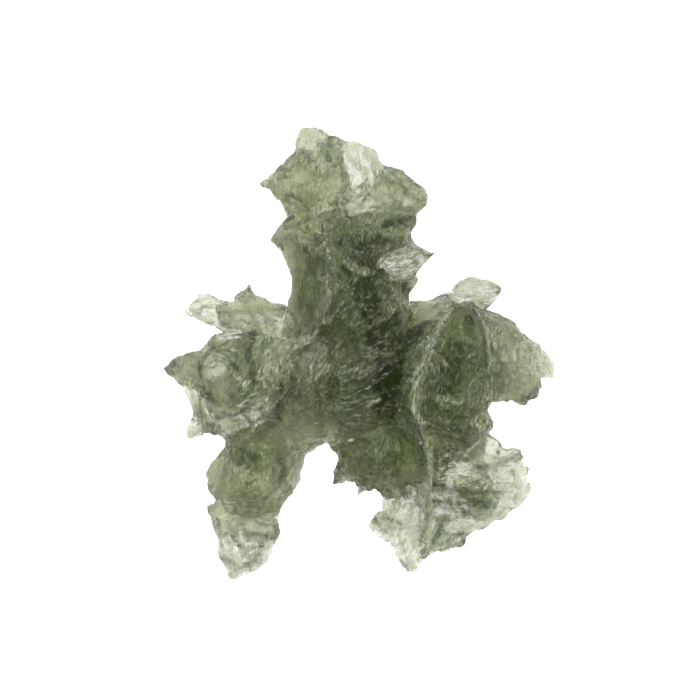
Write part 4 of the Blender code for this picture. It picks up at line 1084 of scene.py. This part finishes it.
def marks_of(mesh):
    """How much frost and painted highlight, and how much dullness and painted shade each point has, and how
    white its frost is, from 0 to 1.
    """
    points = points_of(mesh)
    up = np.clip(facing_of(mesh)[:, 2] * TURNING + SIDEWAYS, 0.0, 1.0)
    wobble = np.array([noise.noise(Vector(point) / RAGGED_SIZE) for point in points])
    broad = np.array([noise.noise(Vector(point) / BACK_PATCH_SIZE) for point in points])
    frost_and_highlight = VEIL * up + np.clip(broad, 0.0, 1.0) * BACK_PATCHES * (1.0 - up)
    dull_and_shade = np.clip(-broad, 0.0, 1.0) * BACK_PATCHES * (1.0 - up)
    white = np.zeros(len(points))
    for strength, width, path in MARKS.values():
        away = path_distance(points, path) / width + RAGGED * wobble
        mark = np.clip(MARK_FULL * (MARK_REACH - away), 0.0, 1.0) * up
        if strength > 0.0:
            frost_and_highlight = np.maximum(frost_and_highlight, strength * mark)
            dull_and_shade *= 1.0 - mark
            whiteness = np.clip((strength - GREEN_UNTIL) / (WHITE_FROM - GREEN_UNTIL), 0.0, 1.0)
            white += (whiteness - white) * mark
        else:
            dull_and_shade = np.maximum(dull_and_shade, -strength * mark)
            frost_and_highlight *= 1.0 - mark
    # What stands out gains painted highlight and what lies deep gains painted shade
    standing = STANDING_SAY * np.clip(standing_of(mesh, STANDING_PASSES) / STANDING_FULL, -1.0, 1.0)
    return frost_and_highlight * (1.0 + standing), dull_and_shade * (1.0 - standing), white


def keep_on_points(mesh, name, values):
    """Keeps one number on each point, for the material to read."""
    layer = mesh.attributes.new(name, "FLOAT", "POINT")
    layer.data.foreach_set("value", values.astype(np.float32))


# A sharp edge stands out from its nearest neighbours: by how much, in millimetres
EDGE_FROM = 0.004
EDGE_FULL = 0.03
frost_and_highlight, dull_and_shade, white = marks_of(skin)
sharpness = standing_of(skin, 1)
# Frost on these sharp edges is partly a painted highlight along the ridges
edge = np.clip((sharpness - EDGE_FROM) / (EDGE_FULL - EDGE_FROM), 0.0, 1.0)
for name, values in (("frost_and_highlight", frost_and_highlight), ("dull_and_shade", dull_and_shade), ("white", white), ("edge", edge)):
    keep_on_points(skin, name, values)
    print(name, "mean", round(float(values.mean()), 3))
print("standing, mm", np.percentile(sharpness, (5, 50, 95)).round(3))

# %% [markdown]
# ## The run of the grain
#
# The finest etching is a grain of fibres, too fine for any mesh, and it runs along each lobe as the
# flutes do. A texture comes out drawn along a direction when the place that it reads is squeezed
# along that direction. One squeeze for the whole stone would run the same way everywhere, so every
# face takes the run that is strongest there, and keeps the squeezed places on its own corners.
# Corners, and not points: a point is shared by faces that may have different runs.

# %% Squeezed places
# How many times as long as wide the grain is
GRAIN_STRETCH = 3.5


def listed(things, field):
    """One whole number of each thing, such as where a face's corners start."""
    numbers = np.empty(len(things), np.int32)
    things.foreach_get(field, numbers)
    return numbers


def keep_grain_places(mesh):
    """Keeps each corner's squeezed place. Returns how many points each run is strongest on."""
    points = points_of(mesh)
    grain_runs = run_shares(points)
    strongest = np.argmax([share for _, share in grain_runs], axis=0)
    corners = listed(mesh.loops, "vertex_index")
    first_corners = corners[listed(mesh.polygons, "loop_start")]
    run_of_corner = np.repeat(strongest[first_corners], listed(mesh.polygons, "loop_total"))
    direction = np.array([direction for direction, _ in grain_runs])[run_of_corner]
    along = (points[corners] * direction).sum(axis=1)[:, None] * direction
    squeezed = points[corners] - along * (1.0 - 1.0 / GRAIN_STRETCH)
    layer = mesh.attributes.new("grain_place", "FLOAT_VECTOR", "CORNER")
    layer.data.foreach_set("vector", squeezed.astype(np.float32).ravel())
    return np.bincount(strongest)


print("points on each run", keep_grain_places(skin))

# %% [markdown]
# ## A small language for materials
#
# A material is a graph of nodes, and its sums are easier to read as sums. `Value` wraps one socket
# and lets Python's own signs add the Math nodes. Every other node comes from `Finish.node`, which
# takes the node's type, its settings and what its sockets are given. Colours are mixed by a Mix
# node, because a Math node would turn them grey.

# %% Values and finishes
class Value:
    """A number that a node gives. Sums with it add Math nodes."""

    def __init__(self, finish, socket):
        self.finish = finish
        self.socket = socket

    def sum(self, operation, *values):
        return self.finish.node("ShaderNodeMath", {"operation": operation}, dict(enumerate(values)))

    def __add__(self, other):
        return self.sum("ADD", self, other)

    __radd__ = __add__

    def __sub__(self, other):
        return self.sum("SUBTRACT", self, other)

    def __rsub__(self, other):
        return self.sum("SUBTRACT", other, self)

    def __mul__(self, other):
        return self.sum("MULTIPLY", self, other)

    __rmul__ = __mul__

    def between(self, low, high):
        """0 below low, 1 above high, and smooth between them."""
        settings = {"interpolation_type": "SMOOTHSTEP"}
        sockets = {"Value": self, "From Min": low, "From Max": high}
        return self.finish.node("ShaderNodeMapRange", settings, sockets)


class Finish:
    """The nodes of one material, or of the world around the stone."""

    def __init__(self, owner, shader="Principled BSDF"):
        owner.use_nodes = True
        self.owner = owner
        self.nodes = owner.node_tree.nodes
        self.links = owner.node_tree.links
        self.shader = self.nodes[shader]

    def give(self, socket, value):
        """Links a socket to a Value, or sets it to a plain number or colour."""
        if isinstance(value, Value):
            self.links.new(value.socket, socket)
        else:
            socket.default_value = value

    def node(self, kind, settings, sockets, output=0):
        """A new node, its settings first and then what its sockets are given. Returns one output."""
        made = self.nodes.new(kind)
        for setting, value in settings.items():
            setattr(made, setting, value)
        for socket, value in sockets.items():
            self.give(made.inputs[socket], value)
        return Value(self, made.outputs[output])

    def noise(self, place, scale, detail):
        """Noise from 0 to 1 with its patches at the place that is given."""
        return self.node("ShaderNodeTexNoise", {}, {"Vector": place, "Scale": scale, "Detail": detail})

    def kept(self, name, output="Fac"):
        """What was kept on the mesh under this name."""
        return self.node("ShaderNodeAttribute", {"attribute_name": name}, {}, output)

    def mixed(self, share, first, second):
        """The first colour where the share is 0 and the second where it is 1."""
        # A Mix node has sockets for several types under the same names, so colours go by number
        sockets = {0: share, 6: first, 7: second}
        return self.node("ShaderNodeMix", {"data_type": "RGBA"}, sockets, 2)

    def set(self, **sockets):
        """Sets the shader's sockets, whose names are written with _ for a space."""
        for name, value in sockets.items():
            self.give(self.shader.inputs[name.replace("_", " ")], value)


# %% [markdown]
# ## Green glass, etched dull in places, with painted shade and highlights
#
# The colour of the stone is in the glass and not on it: light loses more red and blue than green
# on every millimetre, so thin lobes are almost clear and the heart is dark. A tinted surface alone
# would make thin and thick equally green. So the shader is clear glass with a slight tint of its
# own, and a Volume Absorption does the rest.
# The surface is neither polished nor ground. Etching left it satin in most places, with clean,
# glossy patches, and with a grain finer than any mesh can hold, which a Bump gives.
# Frost is a second shader that lets no light through, mixed over the clear one in specks. It also
# carries painted highlights and pale painted glints. One frosted glass for all would be simpler,
# but it blurs what lies behind it and never looks white.

# %% The glass
# The body: its index of refraction, and the colour and density of what takes up light in it
GLASS_INDEX = 1.49
BODY_COLOUR = (0.435, 0.49, 0.2, 1.0)
BODY_DENSITY = 490.0

# The clear skin's tint, and the dark tint of the dull skin, which is painted shade
SKIN_TINT = (0.88, 0.89, 0.84, 1.0)
PAINTED_SHADE_TINT = (0.14, 0.17, 0.14, 1.0)

# How rough the glossy and the satin skin are, how many patches of them come to a metre and which
# heights of the noise part them, and what dullness adds
GLOSSY = 0.15
SATIN = 0.45
PATCH_SCALE = 380.0
PATCH_RANGE = (0.4, 0.6)
DULL_ROUGHNESS = 0.35

# How many finer sizes of noise lie over the patches and the grain, and over specks and pepper
GRAIN_DETAIL = 3.0
SPECK_DETAIL = 2.0

# The grain: bumps to a millimetre, their height in metres, and how much of it shows
GRAIN_SCALE = 5.5
GRAIN_DEPTH = 0.0002
GRAIN_STRENGTH = 0.8

# Frost: its colours and roughness, how much of it a full stroke and a sharp edge leave, and how
# much an edge and dullness whiten it. On a sharp edge it is partly a painted highlight, for the
# light that the ridges catch
GREEN_FROST = (0.6, 0.67, 0.42, 1.0)
WHITE_FROST = (0.86, 0.87, 0.77, 1.0)
FROST_ROUGHNESS = 0.7
FROST_MOST = 1.15
EDGE_FROST = 0.22
EDGE_WHITE = 0.1
DULL_WHITE = 0.3

# Specks: how many come to a millimetre and which heights of the noise they are, the frost left
# between them, how far the skin between them darkens, less without frost, and how much a speck
# clears the dull skin and its painted shade
SPECK_SCALE = 6.5
SPECK_RANGE = (0.44, 0.6)
SPECK_LEAST = 0.25
SPECK_PITS = 0.5
PITS_WITHOUT_FROST = 0.2
SPECK_CLEARS = 0.3

# Pale pepper on the dull skin, painted glints of its rough facets, most of it where that is
# neither faint nor full
PEPPER_SCALE = 5.0
PEPPER_RANGE = (0.55, 0.66)
PEPPER = 0.9
PEPPER_TOP = 1.15


def green_glass():
    """Clear green glass, with a frosted skin mixed in where the marks and the specks say so."""
    glass = Finish(bpy.data.materials.new("etched_green_glass"))
    place = glass.node("ShaderNodeTexCoord", {}, {}, "Object")
    run = glass.kept("grain_place", "Vector")
    frost_and_highlight, dull_and_shade, edge, white = [glass.kept(name) for name in ("frost_and_highlight", "dull_and_shade", "edge", "white")]
    satin = glass.noise(place, PATCH_SCALE, GRAIN_DETAIL).between(*PATCH_RANGE)
    speck = glass.noise(run, SPECK_SCALE, SPECK_DETAIL).between(*SPECK_RANGE)
    pepper = glass.noise(run, PEPPER_SCALE, SPECK_DETAIL).between(*PEPPER_RANGE)

    grain = glass.noise(run, GRAIN_SCALE, GRAIN_DETAIL)
    heights = {"Height": grain, "Strength": GRAIN_STRENGTH, "Distance": GRAIN_DEPTH}
    bump = glass.node("ShaderNodeBump", {}, heights, "Normal")

    dark_specks = (frost_and_highlight + PITS_WITHOUT_FROST) * SPECK_PITS * (1.0 - speck)
    # Where the skin is dull its tint goes dark, and that dark tint is painted shade
    glass.set(
        Base_Color=glass.mixed(dull_and_shade * (1.0 - SPECK_CLEARS * speck) + dark_specks, SKIN_TINT, PAINTED_SHADE_TINT),
        Transmission_Weight=1.0,
        IOR=GLASS_INDEX,
        Roughness=GLOSSY + (SATIN - GLOSSY) * satin + DULL_ROUGHNESS * dull_and_shade,
        Normal=bump,
    )

    # Frost on the strokes and the sharp edges is partly painted highlight, and the pale pepper is painted
    # glints
    strokes = frost_and_highlight * FROST_MOST * (SPECK_LEAST + (1.0 - SPECK_LEAST) * speck)
    edges = edge * EDGE_FROST * speck * (1.0 - dull_and_shade)
    painted_glints = PEPPER * pepper * dull_and_shade * (PEPPER_TOP - dull_and_shade)
    colour = glass.mixed(white + EDGE_WHITE * edge + DULL_WHITE * dull_and_shade, GREEN_FROST, WHITE_FROST)
    frost_sockets = {"Base Color": colour, "Roughness": FROST_ROUGHNESS, "Normal": bump}
    frosted = glass.node("ShaderNodeBsdfPrincipled", {}, frost_sockets, "BSDF")
    clear = Value(glass, glass.shader.outputs["BSDF"])
    surface = glass.node("ShaderNodeMixShader", {}, {0: strokes + edges + painted_glints, 1: clear, 2: frosted})

    body_sockets = {"Color": BODY_COLOUR, "Density": BODY_DENSITY}
    body = glass.node("ShaderNodeVolumeAbsorption", {}, body_sockets, "Volume")
    result = glass.nodes["Material Output"]
    glass.give(result.inputs["Surface"], surface)
    glass.give(result.inputs["Volume"], body)
    return glass.owner


skin.materials.clear()
skin.materials.append(green_glass())
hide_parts("moldavite")
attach(stone, "root")
print("nodes in the glass", len(skin.materials[0].node_tree.nodes))

# %% [markdown]
# ## The lit table
#
# The stone was photographed on a white sheet lit from below, which is why its thin parts glow.
# A lamp under a see-through sheet would do, but a sheet that glows by itself gives the same light
# with less noise. The glow fades away outside the picture, because a stone that sees white on
# every side has no dark edges. Even light from the room shows the frost, and three weak soft
# boxes give it a direction.

# %% Floor and light
# The sheet: its side and how far under the stone it lies, in metres, its grey and its roughness
FLOOR_SIZE = 0.6
FLOOR_DROP = 0.00001
SHEET = 0.5
SHEET_ROUGHNESS = 0.7

# Its glow, how far out that fades, in metres, and the share of it that is left
GLOW = 1.27
GLOW_FADES = (0.044, 0.072)
GLOW_LEFT = 0.1

# Light from the room, and how bright the wall behind the stone looks to the camera
ROOM = 0.43
WALL = 0.8

# Soft boxes above, which look at the stone's middle: place, size, and power in watts
AIM = (0.0, 0.0, 0.007)
SOFT_BOXES = {
    "window_left": ((-0.22, 0.20, 0.28), (0.30, 0.36), 0.6),
    "window_right": ((0.28, 0.02, 0.20), (0.12, 0.24), 0.4),
    "window_back": ((0.04, 0.34, 0.16), (0.30, 0.12), 0.25),
}


def lit_table():
    """A sheet that glows under the stone, and less so farther out."""
    bpy.ops.mesh.primitive_plane_add(size=FLOOR_SIZE, location=(0.0, 0.0, -FLOOR_DROP))
    table = bpy.context.object
    table.name = "lit_table"
    sheet = Finish(bpy.data.materials.new("white_sheet"))
    place = sheet.node("ShaderNodeTexCoord", {}, {}, "Object")
    away = sheet.node("ShaderNodeVectorMath", {"operation": "LENGTH"}, {0: place}, "Value")
    glow = 1.0 - (1.0 - GLOW_LEFT) * away.between(*GLOW_FADES)
    sheet.set(
        Base_Color=(SHEET, SHEET, SHEET, 1.0),
        Roughness=SHEET_ROUGHNESS,
        Emission_Strength=GLOW,
        Emission_Color=glow,
    )
    table.data.materials.append(sheet.owner)
    table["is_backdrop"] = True


def soft_box(name, place, size, power):
    """A rectangular lamp that is turned to the stone."""
    lamp = bpy.data.lights.new(name, "AREA")
    lamp.shape = "RECTANGLE"
    lamp.size, lamp.size_y = size
    lamp.energy = power
    holder = bpy.data.objects.new(name, lamp)
    bpy.context.scene.collection.objects.link(holder)
    holder.location = place
    look = Vector(AIM) - Vector(place)
    holder.rotation_euler = look.to_track_quat("-Z", "Y").to_euler()


def room_light():
    """A dim room, with a pale wall behind what the camera sees."""
    room = Finish(bpy.data.worlds.new("studio"), "Background")
    seen = room.node("ShaderNodeLightPath", {}, {}, "Is Camera Ray")
    room.set(Color=(1.0, 1.0, 1.0, 1.0), Strength=ROOM + (WALL - ROOM) * seen)
    bpy.context.scene.world = room.owner


lit_table()
room_light()
for name, facts in SOFT_BOXES.items():
    soft_box(name, *facts)
print("soft boxes", len(SOFT_BOXES))

# %% [markdown]
# ## The camera
#
# The photograph looks straight down on the stone. A long lens keeps the near and far lobes at the
# same scale. The camera is placed so that one pixel of the picture is 0.085 mm at the height where
# the stone's outline is widest. Blender's Standard view keeps the white sheet white.

# %% Camera
# Millimetres a pixel, the picture's side and the stone's middle in pixels, and a last small move
PIXEL = 0.085
PICTURE = 700
STONE_MIDDLE = (360.0, 352.5)
SHIFT = (0.017, 0.031)

# Where the outline is widest, the lens and its sensor, and the nearest thing it sees, in metres
OUTLINE_HEIGHT = 7.0
LENS = 180.0
SENSOR = 36.0
NEAREST = 0.01


def place_camera():
    """A camera straight above the stone. Returns its distance, in millimetres."""
    lens = bpy.data.cameras.new("camera")
    lens.lens = LENS
    lens.sensor_width = SENSOR
    lens.clip_start = NEAREST
    camera = bpy.data.objects.new("camera", lens)
    bpy.context.scene.collection.objects.link(camera)
    distance = PIXEL * PICTURE * LENS / SENSOR
    right = (PICTURE / 2 - STONE_MIDDLE[0]) * PIXEL + SHIFT[0]
    up = (STONE_MIDDLE[1] - PICTURE / 2) * PIXEL + SHIFT[1]
    camera.location = Vector((right, up, OUTLINE_HEIGHT + distance)) * MM
    bpy.context.scene.camera = camera
    return distance


print("camera distance, mm", place_camera())
bpy.context.scene.view_settings.view_transform = "Standard"

# %% [markdown]
# ## How much the skin grows
#
# The finer skin may stand only a little proud of the solid. How far its box grows past the
# solid's box is printed.

# %% Sizes
finished_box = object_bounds()
grown = np.subtract(finished_box, solid_box) / MM
print("grown by, mm", grown.round(2).tolist())
